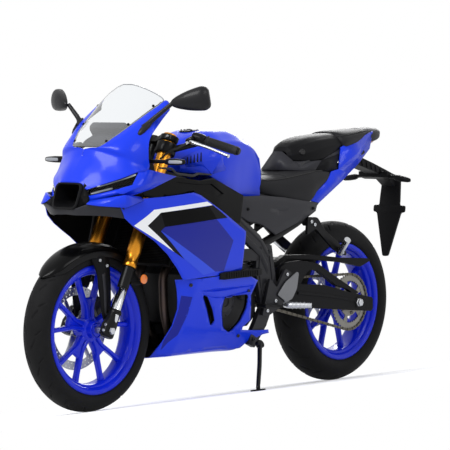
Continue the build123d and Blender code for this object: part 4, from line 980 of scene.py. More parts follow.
gold = metal("aluminium_gold_anodised", "E09A34", "B8741E", 0.2, 0.14, (3, 3, 40))
chrome = metal("steel_hard_chromed", "D4D6DA", "C0C2C6", 0.07, 0.05)
cast_black = lacquer("cast_alloy_black_paint", "0A0A0B", "101012", 0.42, 0.1, 0.08)
OUTER_PROFILE = (
    (20.5, 549), (24.5, 550), (25.2, 553), (25.2, 566), (23.4, 569), (23.4, 600), (25.8, 606), (26, 700),
    (26, 1040), (25, 1044), (25, 1061), (23.5, 1064), (19, 1064.5))
SLEEVE_PROFILE = ((19.3, 470), (20.8, 471), (20.8, 548), (19.3, 548.5))
FOOT_OUTLINE = (
    (-20, 0), (-16, 14), (0, 21), (22, 20), (36, 13), (40, 0), (36, -13), (22, -20), (0, -21), (-16, -14))
outers, inners, feet, caps, fork_screws = [], [], [], [], []
for side in (-1, 1):
    foot = on_steering(0, FORK_FORWARD, side * FORK_Y)
    outers.append(spun(OUTER_PROFILE, foot, STEER_UP, 48))
    inners.append(spun([(POLE, AXLE_HEIGHT + 20), (19, AXLE_HEIGHT + 20), (19, 552)], foot, STEER_UP, 40))
    feet.append(spun(SLEEVE_PROFILE, foot, STEER_UP, 40))
    # the foot narrows upwards from the axle's clamp to a collar round the tube
    rows = []
    for height, scale, shift in (
            (-24, 0.72, 5), (-18, 0.95, 4), (20, 1.0, 3), (44, 0.86, 0), (66, 0.8, -1)):
        rows.append([
            on_steering(
                AXLE_HEIGHT + height, FORK_FORWARD - 5 + scale * a + shift, side * FORK_Y + scale * b)
            for a, b in FOOT_OUTLINE])
    feet.append(loft(rows))
    feet.append(spun(
        [(19.2, 64), (23, 65), (23.5, 74), (21, 80), (19.2, 81)],
        on_steering(AXLE_HEIGHT, FORK_FORWARD, side * FORK_Y), STEER_UP, 40))
    caps.append(spun(
        [(POLE, 1068), (9, 1068), (10, 1066), (17, 1065.5), (18.5, 1063), (18.5, 1050), (POLE, 1050)],
        foot, STEER_UP, 12))
    fork_screws += [
        screw(on_steering(AXLE_HEIGHT - 8, FORK_FORWARD + 36, side * FORK_Y + 8), STEER_AHEAD, 5),
        screw(on_steering(AXLE_HEIGHT + 14, FORK_FORWARD + 33, side * FORK_Y + 8), STEER_AHEAD, 5)]
    fork_screws.append(spun(
        [(POLE, 5), (9, 5), (12.5, 3.5), (13, 0), (13, -6), (POLE, -6)],
        (WHEELBASE, side * 120.5, FRONT_RADIUS), (0, side, 0), 6))
piece("fork_gold_outers", outers, gold, ["fork_outers"], body="steering", wall=2.5)
piece("fork_chrome_tubes", inners, chrome, ["fork_inners"], body="steering", wall=2)
piece("fork_feet", feet, cast_black, body="steering", bevel=1.5)
piece("fork_caps", caps, gold, body="steering")
CLAMP = (
    (-22, -26), (-22, 26), (2, 66), (2, 112), (14, 130), (30, 134), (52, 128), (60, 104), (52, 74),
    (30, 34), (30, -34), (52, -74), (60, -104), (52, -128), (30, -134), (14, -130), (2, -112), (2, -66))
clamps = [steering_plate(CLAMP, 818, 838), steering_plate(CLAMP, 1038, 1056)]
clamps.append(spun(
    [(9.2, 812), (15.5, 812), (15.5, 1058), (22, 1060), (22, 1066), (17, 1070), (9.2, 1070)],
    on_steering(0), STEER_UP, 36, ring=True))
for side in (-1, 1):
    for low, high in ((813, 842), (1034, 1058)):
        clamps.append(spun(
            [(26.2, low), (32, low + 1), (33, low + 4), (33, high - 4), (32, high - 1), (26.2, high)],
            on_steering(0, FORK_FORWARD, side * FORK_Y), STEER_UP, 44, ring=True))
    for height in (823, 833, 1046):
        fork_screws.append(screw(
            on_steering(height, FORK_FORWARD + 30, side * (FORK_Y + 18)), STEER_AHEAD, 4.5))
piece("fork_clamps", clamps, cast_black, ["fork_yokes"], body="steering", bevel=1.5)
axle = [spun([(POLE, -120), (8.2, -120), (8.2, 120), (POLE, 120)], FRONT_CENTRE, count=24)]
axle += [
    spun(
        [(8.3, side * 47), (12.5, side * 47), (12.5, side * 75.5), (8.3, side * 75.5)], FRONT_CENTRE,
        count=28, ring=True) for side in (-1, 1)]
piece("front_axle_turned", axle, bright_steel, ["front_axle"], body="steering")
piece("fork_screws", fork_screws, bright_steel, body="steering")

# ---------------------------------------------------------------- front mudguard
# Moulded in two parts: a gloss black hood over the wheel with a soft keel, and satin black legs with a grey
# strip that screw to the fork feet.
satin_black = lacquer("abs_satin_black_grained", "0D0D0F", "111113", 0.5, 0.0, 0.08)
satin_grey = lacquer("abs_satin_dark_grey", "303034", "2A2A2E", 0.5, 0.05)
pale_grey = lacquer("abs_light_grey_paint", "8C8F94", "84878C", 0.35, 0.3)
# angle over the horizon, half width, keel height over the tyre, edge drop below the keel
HOOD_ROWS = (
    (40, 8, 10, 6), (44, 34, 11, 22), (52, 54, 13, 38), (66, 63, 15, 46), (84, 66, 16, 50),
    (104, 66, 15, 48), (122, 62, 13, 42), (129, 56, 12, 34))
HOOD_SECTION = ((0.0, 0.0), (0.3, 0.03), (0.55, 0.12), (0.78, 0.30), (0.93, 0.58), (1.0, 1.0))


def hood(rows, section, steps=7):
    """Half sections carried over the wheel: each is the same curve, scaled to the row's width and
    drop."""
    rows = smooth(rows, steps)
    section = smooth(section, 4)
    points = []
    for angle, half, keel, drop in rows:
        turn = math.radians(angle)
        radius = FRONT_RADIUS + keel - drop * section[:, 1]
        points.append(np.stack(
            [WHEELBASE + radius * math.cos(turn), half * section[:, 0],
             FRONT_RADIUS + radius * math.sin(turn)], -1))
    return grid(np.array(points))


piece(
    "mudguard_hood", both(hood(HOOD_ROWS, HOOD_SECTION), FRONT_CENTRE), gloss_black,
    ["front_fender"], body="steering", wall=2.6)
EDGE_ROWS = tuple(
    (angle, half + 1.2, keel - drop * 0.62 + 0.5, drop * 0.42)
    for angle, half, keel, drop in HOOD_ROWS[1:])
piece(
    "mudguard_edges", both(hood(EDGE_ROWS, ((0.985, 0.0), (1.0, 0.5), (1.0, 1.0))), FRONT_CENTRE),
    cast_black, body="steering", wall=1.2)
LEG = np.array(
    [((1428, 550), (1402, 560), (1372, 566), (1338, 560)),
     ((1404, 500), (1386, 512), (1364, 520), (1334, 508)),
     ((1392, 430), (1376, 440), (1358, 440), (1330, 424)),
     ((1381, 360), (1370, 362), (1354, 362), (1334, 356)),
     ((1372, 330), (1364, 330), (1350, 330), (1338, 330))], float)
LEG_OUT = np.array(
    ((63, 67, 67, 63), (66, 71, 70, 65), (67, 73, 72, 66), (68, 73, 73, 68), (69, 72, 72, 69)), float)
leg = np.stack([LEG[..., 0], LEG_OUT, LEG[..., 1]], -1)
leg = smooth(leg, 6)
legs = both(grid(leg), FRONT_CENTRE)
piece("mudguard_legs", legs, satin_black, body="steering", wall=4, sharp=25)
strip = leg[8:22, 1:3].copy()
strip[..., 1] += 0.9
strip[:, 1, 0] += 4
piece(
    "mudguard_leg_strips", both(grid(strip), FRONT_CENTRE), satin_grey, body="steering",
    wall=1)
guard_screws = [
    screw((x, side * y, z), (0, side, 0), 5.5) for side in (-1, 1)
    for x, y, z in ((1352, 71.5, 346), (1392, 70.5, 540), (1357, 71, 520))]
guard_screws += [
    spun([(6, 66), (9, 66), (9, 78), (6, 78)], (1347, 0, 345), (0, side, 0), 16, ring=True)
    for side in (-1, 1)]
piece("mudguard_screws", guard_screws, bright_steel, body="steering")

# amber reflectors on black brackets beside the forks
REFLECTOR = np.array([1227.0, 128.0, 468.0])
reflectors, brackets = [], []
for side in (-1, 1):
    at = REFLECTOR * [1, side, 1]
    reflectors.append(spun([(POLE, 4.2), (12, 4), (16.5, 2.6), (17, 0), (POLE, 0)], at, (0, side, 0), 32))
    brackets.append(spun([(POLE, 0), (19, 0), (20, -2), (20, -5), (POLE, -5)], at, (0, side, 0), 32))
    brackets.append(tube(
        [at - [0, side * 3, 0], at - [-14, side * 10, 18],
         on_steering(AXLE_HEIGHT + 190, FORK_FORWARD - 16, side * 112)], 5, 8))

# a sharp gloss over a pattern of prisms 2 to 3 mm wide
amber = moulded_lens("amber_moulded_lens", "E8760E", 0.16, 0.6, 0.5, "TexVoronoi", 0.4, 0.0008, scale=420.0)
piece("fork_reflectors", reflectors, amber, body="steering")
piece("reflector_brackets", brackets, satin_black, body="steering")

# ---------------------------------------------------------------- bars, grips and levers
# Clip-on bars of black tube with ribbed rubber grips, a cast switch block each side and forged levers.
GRIP_START, GRIP_END = np.array([999.0, 224.0, 956.0]), np.array([959.0, 345.0, 918.0])
GRIP_AXIS = unit(GRIP_END - GRIP_START)
GRIP_LENGTH = 124.0
GRIP_RIBS = 22
ribs = [(11.2, 1), (18.5, 0.5), (19.5, 3), (16.0, 5)]
for index in range(GRIP_RIBS):
    at = 10 + index * (GRIP_LENGTH - 26) / GRIP_RIBS
    ribs += [(15.1, at), (16.3, at + 0.8), (16.3, at + 2.8), (15.1, at + 3.6)]
ribs += [(15.6, GRIP_LENGTH - 12), (16.4, GRIP_LENGTH - 6), (15.8, GRIP_LENGTH - 1), (11.2, GRIP_LENGTH)]
grips, bars, levers, ends = [], [], [], []
for side in (-1, 1):
    flip = np.array([1, side, 1])
    axis = GRIP_AXIS * flip
    grips.append(spun(ribs, GRIP_START * flip, axis, 40, ring=True))
    ends.append(spun(
        [(POLE, GRIP_LENGTH + 8), (10, GRIP_LENGTH + 8), (13.5, GRIP_LENGTH + 5), (14, GRIP_LENGTH - 1),
         (POLE, GRIP_LENGTH - 1)], GRIP_START * flip, axis, 28))
    bars.append(spun(
        [(36.2, 988), (37, 990), (37, 1026), (36.2, 1028), (26.2, 1028), (26.2, 988)],
        on_steering(0, FORK_FORWARD, side * FORK_Y), STEER_UP, 48, ring=True))
    bars.append(tube(
        [on_steering(1010, FORK_FORWARD - 6, side * (FORK_Y + 30)), GRIP_START * flip, GRIP_END * flip],
        (12, 11, 11), 16, 24))
    # the switch block: two shells round the bar with a step for the thumb
    rows = []
    for along, tall, deep in (
            (-52, 13, 14), (-48, 20, 22), (-34, 23, 24), (-14, 22, 23), (-4, 19, 20), (-1, 14, 15)):
        at = GRIP_START + GRIP_AXIS * along
        rows.append([
            (
                at + [
                    deep * 0.9 * math.cos(a) * (1 if abs(math.cos(a)) < 0.9 else 0.94), 0,
                    tall * 0.86 * math.sin(a)]) * flip for a in circle(16)])
    bars.append(loft(rows))
    bars.append(tube([(1022, side * 178, 962), (1058, side * 184, 956)], (13, 9), 4, 16))
    lever = [
        (1054, 186, 955), (1056, 206, 950), (1040, 250, 937), (1026, 290, 922), (1012, 330, 906),
        (1011, 338, 903)]
    levers.append(tube(np.array(lever) * flip, (9, 7.5, 5.5, 5, 5.5, 7), 12, 14))
    bars.append(spun(
        [(POLE, -9), (10, -9), (11, -6), (11, 6), (10, 9), (POLE, 9)], (1054, side * 186, 955),
        (0.3, 0, 0.95), 20))
grip_rubber = metal("rubber_moulded_grip", "0B0B0C", "121213", 0.62, 0.2, metallic=0.0)
forged = metal("forged_alloy_polished", "C9CBCE", "AFB1B4", 0.18, 0.15)
piece("grip_rubbers", grips, grip_rubber, ["grips"], body="steering")
piece("bar_tubes_and_blocks", bars, cast_black, ["clip_ons"], body="steering", bevel=1.0)
piece("bar_ends", ends, cast_black, body="steering")
piece("forged_levers", levers, forged, ["levers"], body="steering")

# hoses and cables of black rubber with steel unions; the brake hose keeps the route of its node
HOSE_ROUTE = (
    (1044, -179, 949), (1076, -176, 926), (1132, -150, 912), (1204, -118, 768), (1230, -140, 572),
    (1243, -112, 470), (1263, -66, 396))
hoses = [tube(HOSE_ROUTE, 3.9, 26, 12, 8)]
unions = [
    tube([HOSE_ROUTE[0], (1052, -178.3, 943.5)], 5.5, 4, 12),
    tube([HOSE_ROUTE[-1], (1258.5, -75.0, 408)], 5.2, 4, 12)]
hoses.append(tube(
    [(1062, 190, 952), (1088, 176, 934), (1110, 140, 918), (1118, 96, 884), (1112, 88, 862)], 3.6, 18, 12,
    8))
unions.append(tube([(1062, 190, 952), (1070, 186, 946.5)], 5, 4, 12))
# brake fluid pot on the right bar
pot = spun(
    [(POLE, 0), (19, 0), (20, 3), (20, 26), (21.5, 27), (21.5, 34), (19, 36), (POLE, 36)],
    (1060, -168, 972), (0, 0, 1), 32)
piece("hoses", hoses, grip_rubber, ["brake_hose"], body="steering")
piece("hose_unions", unions, bright_steel, body="steering")
piece(
    "brake_fluid_pot", [pot, tube([(1060, -168, 976), (1052, -176, 962)], 8, 4, 14)], satin_black,
    body="steering")

# ---------------------------------------------------------------- nose
# The blue upper cowl: one moulded shell from the intake's lip over the brow to the two ears beside the
# screen, 3 mm thick with turned edges. Each row runs from the middle or the screen's edge outwards.
PANEL = 3.0
NOSE_ROWS = (
    ((1469, 0, 813), (1470, 24, 813), (1470, 45, 811), (1467, 62, 797), (1464, 78, 790)),
    ((1440, 0, 862), (1438, 40, 860), (1431, 72, 850), (1424, 104, 830), (1420, 130, 812)),
    ((1410, 0, 903), (1405, 50, 900), (1394, 96, 884), (1382, 136, 856), (1372, 170, 832)),
    ((1400, 0, 928), (1392, 56, 922), (1374, 112, 908), (1352, 158, 882), (1326, 191, 850)),
    ((1388, 64, 938), (1376, 104, 937), (1356, 147, 921), (1318, 176, 892), (1271, 192, 859)),
    ((1328, 100, 982), (1322, 128, 980), (1308, 158, 964), (1290, 179, 934), (1271, 192, 903)),
    ((1270, 120, 1021), (1268, 140, 1018), (1264, 162, 1008), (1264, 179, 986), (1266, 191, 960)),
    ((1201, 137, 1064), (1199, 152, 1062), (1196, 168, 1054), (1198, 177, 1040), (1203, 183, 1020)),
    ((1141, 150, 1101), (1138, 157, 1100), (1135, 163, 1095), (1134, 167, 1084), (1135, 169, 1066)))
MIDDLE = np.array([1150.0, 0.0, 760.0])
nose_half = grid(net(NOSE_ROWS, 8, 7))
piece(
    "nose_cowl", both(nose_half, MIDDLE), blue_paint, ["upper_cowl"], wall=PANEL,
    inner=panel_back)

# ---------------------------------------------------------------- cheeks
# Below each lamp a faceted blue cheek runs back to a point over the air duct, and a winglet stands out
# under it. They are moulded with the nose, in flat facets with tight radii between them.
CHEEK = {
    "lamp_in": (1462, 84, 768), "lamp_mid": (1405, 148, 788), "lamp_out": (1350, 188, 806),
    "lamp_top": (1322, 192, 850), "rear_top": (1270, 192, 858), "tip": (1136, 202, 831),
    "fold_in": (1466, 92, 752), "fold_mid": (1388, 172, 772), "fold_out": (1300, 200, 806),
    "under_mid": (1262, 198, 790), "under_in": (1372, 182, 762), "root_out": (1318, 198, 764),
    "wing_in": (1494, 104, 742), "wing_top": (1392, 196, 772), "wing_rear": (1312, 208, 752),
    "wing_low": (1400, 206, 729), "wing_nose": (1470, 142, 736)}
CHEEK_FACETS = (
    ("lamp_in", "lamp_mid", "fold_mid", "fold_in"), ("lamp_mid", "lamp_out", "fold_out", "fold_mid"),
    ("lamp_out", "lamp_top", "rear_top", "fold_out"), ("rear_top", "tip", "fold_out"),
    ("fold_out", "tip", "under_mid"), ("fold_mid", "fold_out", "under_mid", "under_in"))
WING_FACETS = (
    ("fold_in", "fold_mid", "wing_top"), ("fold_in", "wing_top", "wing_nose", "wing_in"),
    ("wing_top", "wing_rear", "wing_low"), ("wing_top", "wing_low", "wing_nose"),
    ("fold_mid", "under_in", "wing_top"), ("under_in", "root_out", "wing_rear", "wing_top"))
for name, faces in (("cheek", CHEEK_FACETS), ("winglet", WING_FACETS)):
    piece(
        name + "_facets", faceted(CHEEK, faces, (1330, 60, 790)), blue_paint, wall=PANEL,
        sharp=8, inner=panel_back)

# ---------------------------------------------------------------- side fairing
# The large blue side panel, bulged out 220 mm at the knee of its curve, with its edges turned in. Its
# stripe is a lacquered film: a white arrow, a black field behind it and two other blues.
SIDE_X = (740.0, 1020.0, 1180.0, 1300.0, 1430.0)
SIDE_Z = (440.0, 540.0, 620.0, 690.0, 760.0, 820.0)
SIDE_OUT = (
    (196, 208, 216, 214, 200, 184), (206, 216, 222, 222, 204, 186), (194, 206, 216, 216, 202, 184),
    (178, 192, 204, 206, 196, 178), (158, 171, 179, 183, 176, 150))


def side_bulge(x, z):
    """How far out the side panel stands at x and z: cubic arcs through SIDE_OUT both ways, read between
    the nearest four of the fine grid's values."""
    steps = 12
    table = smooth(
        smooth(np.array(SIDE_OUT, float)[..., None], steps).swapaxes(0, 1), steps).swapaxes(0, 1)[..., 0]
    fine_x = smooth(np.array(SIDE_X)[:, None], steps)[:, 0]
    fine_z = smooth(np.array(SIDE_Z)[:, None], steps)[:, 0]
    column = np.interp(x, fine_x, np.arange(len(fine_x)))
    row = np.interp(z, fine_z, np.arange(len(fine_z)))
    i, j = np.minimum(column.astype(int), len(fine_x) - 2), np.minimum(row.astype(int), len(fine_z) - 2)
    a, b = column - i, row - j
    return (
        table[i, j] * (1 - a) * (1 - b) + table[i + 1, j] * a * (1 - b) + table[i, j + 1] * (1 - a) * b
            + table[i + 1, j + 1] * a * b)


def on_side(corners, proud, count=24):
    """The patch between four corners (x, z) of the side view, laid on the side panel's surface."""
    a, b, c, d = corners
    u = np.linspace(0, 1, count)[:, None, None]
    v = np.linspace(0, 1, count)[None, :, None]
    flat = mix(mix(a, b, u), mix(d, c, u), v)
    return grid(stood_out(flat[..., 0], flat[..., 1], side_bulge, proud))


# the panel between its upper-rear edge and its front-lower edge, station by station
SIDE_UPPER = (
    (1407, 730), (1298, 757), (1165, 763), (1041, 772), (1008, 762), (835, 660), (772, 624), (778, 484))
SIDE_LOWER = (
    (1390, 690), (1352, 660), (1257, 607), (1187, 556), (1136, 505), (1100, 460), (1000, 466), (888, 470))


def between(upper, lower, steps=10, count=26):
    """The panel's surface between two edges of (x, z) stations, straight from station to station."""
    ends = [np.array(edge, float) for edge in (upper, lower)]
    stations = np.linspace(0, len(upper) - 1, (len(upper) - 1) * steps + 1)
    edges = [np.stack([np.interp(stations, np.arange(len(e)), e[:, k]) for k in (0, 1)], -1) for e in ends]
    v = np.linspace(0, 1, count)[None, :, None]
    flat = mix(edges[0][:, None], edges[1][:, None], v)
    return grid(stood_out(flat[..., 0], flat[..., 1], side_bulge, 0.0))


for side, name in SIDES:
    panel = facing(between(SIDE_UPPER, SIDE_LOWER), (1100, 0, 600))
    piece(
        "side_panel_" + name, sided([panel], side), blue_paint, ["side_fairing_" + name],
        wall=PANEL, inner=panel_back)

FILM_PROUD = 0.5
# name, material, then the four corners (x, z) of each patch of film
SIDE_FILMS = (
    ("white_arrow", white_film,
     (((1352, 664), (1260, 717), (1229, 706), (1292, 662)),
      ((1260, 717), (980, 738), (955, 725), (1229, 706)),
      ((1352, 664), (1292, 662), (1225, 613), (1159, 565)))),
    ("black_field", black_film, (((1229, 706), (978, 722), (940, 674), (1210, 655)),)),
    ("grey_field", grey_film,
     (((1292, 662), (1229, 706), (1210, 655), (1229, 641)),
      ((1292, 662), (1229, 641), (1105, 537), (1159, 565)),
      ((978, 722), (955, 725), (878, 677), (940, 674)))),
    ("dark_field", dark_blue_and_painted_shade,
     (((1226, 641), (1210, 655), (940, 673), (844, 593)),
      ((1226, 641), (844, 593), (885, 484), (934, 484)))),
    ("pale_field", pale_blue, (((1226, 641), (934, 484), (1000, 475), (1105, 537)),)))
for name, material, quads in SIDE_FILMS:
    patches = []
    for corners in quads:
        patches += both(on_side(corners, FILM_PROUD), MIDDLE - [50, 0, 150])
    piece("side_" + name, patches, material, closed=False)

# ---------------------------------------------------------------- intake and chin
# The air intake is a moulded duct with a rolled lip, let into the nose. Satin black trim joins it to the
# cheeks, and a chin panel closes the nose below.

# the lip's upper edge in the side view, and how far it runs forward for each millimetre it falls
LIP_X, LIP_Z, LIP_SLOPE = 1471, 816, 0.34


def mouth(top, bottom, high, low, depth):
    """One ring of the duct: a trapezoid with round lower corners, on a plane that slopes forward as
    it falls."""
    outline = rounded([(-top, high), (top, high), (bottom, low), (-bottom, low)], 22)
    ahead = LIP_X + (LIP_Z - outline[:, 1]) * LIP_SLOPE - depth
    return np.stack([ahead, outline[:, 0], outline[:, 1]], -1)


duct = np.array([
    mouth(64, 60, 810, 720, 10), mouth(63, 59, 811, 721, 2), mouth(61, 57, 811, 723, 0),
    mouth(58, 54, 809, 726, 1), mouth(54, 50, 806, 731, 40), mouth(46, 42, 800, 742, 110)])
piece(
    "intake_mouth", [facing(grid(duct, round_columns=True), (1440, 0, 770))], satin_black,
    ["intake_duct"], wall=2)
piece(
    "intake_screen", [plate([(1352, 742), (1354, 742), (1332, 802), (1330, 802)], -46, 46)], gloss_black)
TRIM = {
    "lip_top": (1462, 63, 812), "brow": (1454, 80, 795), "lamp": (1459, 86, 767),
    "wing": (1488, 103, 741), "chin": (1480, 86, 722), "lip_low": (1495, 60, 724),
    "lip_mid": (1482, 64, 768)}
trim_faces = (
    ("lip_top", "brow", "lip_mid"), ("brow", "lamp", "lip_mid"), ("lamp", "wing", "lip_mid"),
    ("wing", "chin", "lip_low", "lip_mid"))
piece(
    "intake_trim", faceted(TRIM, trim_faces, (1430, 40, 770)), satin_black, wall=2,
    sharp=12)
CHIN = (
    ((1499, 0, 724), (1499, 54, 724), (1486, 100, 738), (1460, 142, 734), (1396, 192, 725)),
    ((1489, 0, 702), (1487, 56, 700), (1464, 100, 700), (1426, 138, 697), (1371, 176, 688)),
    ((1400, 0, 706), (1400, 56, 704), (1396, 90, 702), (1370, 130, 702), (1340, 164, 700)))
piece("chin_panel", both(grid(net(CHIN, 6, 6, (1,))), (1400, 0, 760)), satin_grey, wall=3)

# ---------------------------------------------------------------- headlamps
# Each lamp is a slit under the brow: a gloss black housing, two ribbed light guides of clear plastic in
# it, and a clear cover.
LAMP_TOP = ((1463, 79, 789), (1419, 131, 811), (1371, 171, 831), (1325, 189, 849), (1300, 190, 855))
LAMP_LOW = ((1461, 85, 769), (1404, 148, 789), (1370, 172, 799), (1338, 188, 814), (1312, 192, 846))
INWARD = np.array([-16.0, -9.0, 0.0])
housing = net(
    (LAMP_TOP, np.array(LAMP_TOP) + INWARD - [0, 0, 3], np.array(LAMP_LOW) + INWARD + [0, 0, 3], LAMP_LOW),
    4, 6, (1, 2))
piece("lamp_housings", both(grid(housing), (1380, 60, 760)), panel_back, ["headlamps"], wall=1.5)


def guide(start, end, drop):
    """A light guide: a flat bar along the slit, with ribs square to its length."""
    rows = []
    for index, t in enumerate(np.linspace(0, 1, 33)):
        at = mix(start, end, t)
        tall = drop * (0.55 + 0.45 * min(1, 5 * t, 6 * (1 - t) + 0.2)) - (0.6 if index % 2 else 0)
        out = np.array([4.0, 3.0, 0.0]) * (0.75 if index % 2 else 1.0)
        rows.append([
            at + [0, 0, tall / 2], at + out + [0, 0, tall / 3], at + out - [0, 0, tall / 3],
            at - [0, 0, tall / 2]])
    return loft(rows)


guides = [guide((1440, 104, 800), (1330, 186, 841), 9), guide((1452, 86, 775), (1398, 138, 794), 8)]
guide_plastic = moulded_lens("lamp_guide_frosted_clear", "B9BCBE", 0.3, 0.5, 0.6)
piece("lamp_guides", two_sided(guides), guide_plastic)
lamp_clear = clear_plastic("polycarbonate_lamp_cover", "F4F6F8", 0.0, 1.2)
cover = net((np.array(LAMP_TOP) + [-1.5, -1, -0.5], np.array(LAMP_LOW) + [-1.5, -1, 0.5]), 6, 6)
piece("lamp_covers", both(grid(cover), (1380, 60, 760)), lamp_clear, closed=False)

# ---------------------------------------------------------------- windscreen
# Clear acrylic, 3 mm thick, bowed across and raked back, screwed to the nose along both edges. Its cut
# edge shows grey, and a dark trim strip covers the joint.

# z, x and y at the left edge, x in the middle
SCREEN = (
    (938, 1385, 68, 1398), (982, 1328, 100, 1370), (1021, 1270, 120, 1332), (1064, 1201, 137, 1286),
    (1101, 1144, 149, 1242), (1118, 1147, 126, 1225), (1136, 1155, 88, 1208), (1150, 1165, 50, 1195),
    (1157, 1173, 20, 1189))
BOW_POWER = 2.1


def screen_point(rows, share):
    """The bow at a share of the half width: x falls from the middle to the edge with a power of the
    share."""
    z, edge_x, edge_y, middle_x = (rows[..., k] for k in range(4))
    bend = np.abs(share) ** BOW_POWER
    return np.stack([middle_x - (middle_x - edge_x) * bend, edge_y * share, z + 0 * share], -1)


screen_rows = smooth(SCREEN, 7)
share = np.linspace(-1, 1, 41)[None, :]
pane = screen_point(screen_rows[:, None, :] + 0 * share[..., None], share)
acrylic = clear_plastic("acrylic_clear_windscreen", "EEF1F3", 0.14)
piece(
    "windscreen_pane", [facing(grid(pane), (1150, 0, 1000))], acrylic, ["windscreen"],
    closed=False)
rim = np.concatenate([pane[::4, 0], pane[-1, 1:-1:4], pane[::-4, -1]])
piece("windscreen_edge", [tube(rim, 1.7, 3, 8, 2)], pale_grey)
strips, screen_screws = [], []
for edge in (0, -1):
    run = pane[:28, edge] + [-1, 0, -1]
    inside = pane[:28, edge + (1 if edge == 0 else -1)] - [2, 0, 1]
    strips.append(facing(grid(np.stack([run, inside], 1)), (1150, 0, 1000)))
    for row in (3, 13, 24):
        at = screen_point(screen_rows[row], np.array(0.93 if edge else -0.93))
        screen_screws.append(spun(
            [(POLE, 4), (3, 3.6), (5, 2), (5, -2), (POLE, -2)], at, (0.7, 0.5 if edge else -0.5, 0.5), 14))
low_strip = np.stack([pane[0] - [1, 0, 1], pane[2] - [3, 0, 1]], 1)
strips.append(facing(grid(low_strip), (1150, 0, 1000)))
piece("windscreen_trim", strips, satin_black, wall=1.5)
piece("windscreen_screws", screen_screws, satin_black)

# ---------------------------------------------------------------- instruments
# A slab display in a grey plastic housing with a raised hood, on the nose stay behind the screen.
PANEL_UP, PANEL_OUT = np.array([0.6, 0, 0.8]), np.array([-0.8, 0, 0.6])
PANEL_PLACE = np.array([1262.0, 0, 972.0])


def panel_ring(half, tall, depth, radius):
    """A rounded rectangle on the display's plane, moved towards the rider by the depth."""
    outline = rounded([(-half, -tall), (half, -tall), (half, tall), (-half, tall)], radius)
    return PANEL_PLACE + outline[:, :1] * [0, 1, 0] + outline[:, 1:] * PANEL_UP + depth * PANEL_OUT


case = loft([
    panel_ring(60, 26, -14, 10), panel_ring(80, 42, -6, 14), panel_ring(85, 46, 4, 14),
    panel_ring(85, 46, 22, 12), panel_ring(82, 43, 26, 12), panel_ring(76, 37, 26, 8),
    panel_ring(75, 36, 21, 8)])
piece("instrument_case", [case], satin_grey, ["instrument_panel"], bevel=1.0)
glass = moulded_lens("display_glass_dark", "0A0D12", 0.06, 0.6)
piece(
    "instrument_glass", [loft([panel_ring(74, 35, 21.5, 7), panel_ring(74, 35, 22.5, 7)])], glass)
hood_rows = []
for x, half, top in ((1292, 78, 985), (1312, 88, 972), (1336, 84, 954), (1356, 66, 940)):
    angle = np.linspace(0, math.pi, 17)
    hood_rows.append(np.stack(
        [0 * angle + x, half * np.cos(angle), top - 34 + 34 * np.sin(angle) ** 0.7], -1))
piece(
    "instrument_hood", [facing(grid(np.array(hood_rows)), (1320, 0, 900))], satin_grey,
    wall=2)

# ---------------------------------------------------------------- mirrors
# Wedge-shaped satin housings on tapered stalks that stand on oval pads beside the screen; the glass faces
# the rider. The right one is shifted ahead and a little smaller.
mirror_black = lacquer("abs_satin_mirror_black", "1C1C1E", "18181A", 0.42, 0.1)
# share of the way to the tip, half depth, half height, shift ahead
HEAD_ROWS = (
    (-0.03, 4, 5, 2), (0.02, 9, 10, 2), (0.12, 14, 16, 2), (0.3, 20, 23, 1), (0.55, 25, 30, 0),
    (0.8, 25, 34, -1), (0.92, 20, 31, -2), (0.985, 12, 23, -2), (1.0, 4, 10, -2))
HEAD_ROOT, HEAD_TIP = np.array([1188.0, 228.0, 1090.0]), np.array([1122.0, 346.0, 1112.0])

# the power that squares the ovals a little, and the flat's place towards the rider, in half depths
OVAL_POWER, GLASS_CUT = 0.7, -0.42


def mirror_head(root, tip, grow=1.0):
    """Ovals from root to tip, flattened on the rider's side where the glass sits."""
    along = unit(tip - root)
    ahead = unit(np.cross(along, [0, 0, 1.0]))
    rise = np.cross(ahead, along)
    rows, angle = [], circle(24)
    for share, deep, tall, shift in smooth(HEAD_ROWS, 3):
        out = np.maximum(
            np.sign(np.cos(angle)) * np.abs(np.cos(angle)) ** OVAL_POWER, GLASS_CUT) * deep * grow
        rows.append(
            root + (tip - root) * share + ahead * (out + shift)[:, None]
                + rise * (np.sin(angle) * tall * grow)[:, None])
    return loft(rows), ahead, rise


heads, stalks, glasses = [], [], []
for side, shift in ((1, np.zeros(3)), (-1, np.array([62.0, 0, -6.0]))):
    flip = np.array([1, side, 1])
    head, ahead, rise = mirror_head(HEAD_ROOT + shift, HEAD_TIP + shift, 1.28 if side > 0 else 1.18)
    heads.append((head[0] * flip, head[1] if side > 0 else [face[::-1] for face in head[1]]))
    middle = HEAD_ROOT * 0.45 + HEAD_TIP * 0.55 + shift - ahead * 12.5
    across = unit(HEAD_TIP - HEAD_ROOT)
    ring = np.array([
        middle + across * 46 * math.cos(a) * (1 - 0.12 * math.sin(a)) + rise * 22 * math.sin(a)
        for a in circle(32)])
    glasses.append(loft([ring * flip, (ring + ahead * 4) * flip]))
    stalks.append(tube(
        np.array([(1262, 160, 1004), (1238, 176, 1030), HEAD_ROOT + shift * 0.8 + [2, 2, 0]]) * flip,
        (13, 9, 7.5), 18, 16))
    foot = []
    for t, wide, tall in ((0, 3, 3), (0.06, 9, 8), (0.25, 13, 12), (0.6, 14, 13), (0.9, 10, 9), (1, 3, 3)):
        at = mix((1290, 158, 976), (1226, 171, 1036), t)
        foot.append([
            (at + [wide * 0.6 * math.sin(a), wide * math.cos(a), tall * 0.6 * math.sin(a)]) * flip
            for a in circle(20)])
    stalks.append(loft(foot))
mirror_glass = metal("mirror_silvered_glass", "E6E9EC", "E2E5E8", 0.01, 0.01)
for index, side in enumerate(("left", "right")):
    piece("mirror_head_" + side, [heads[index]], mirror_black, ["mirror_" + side])
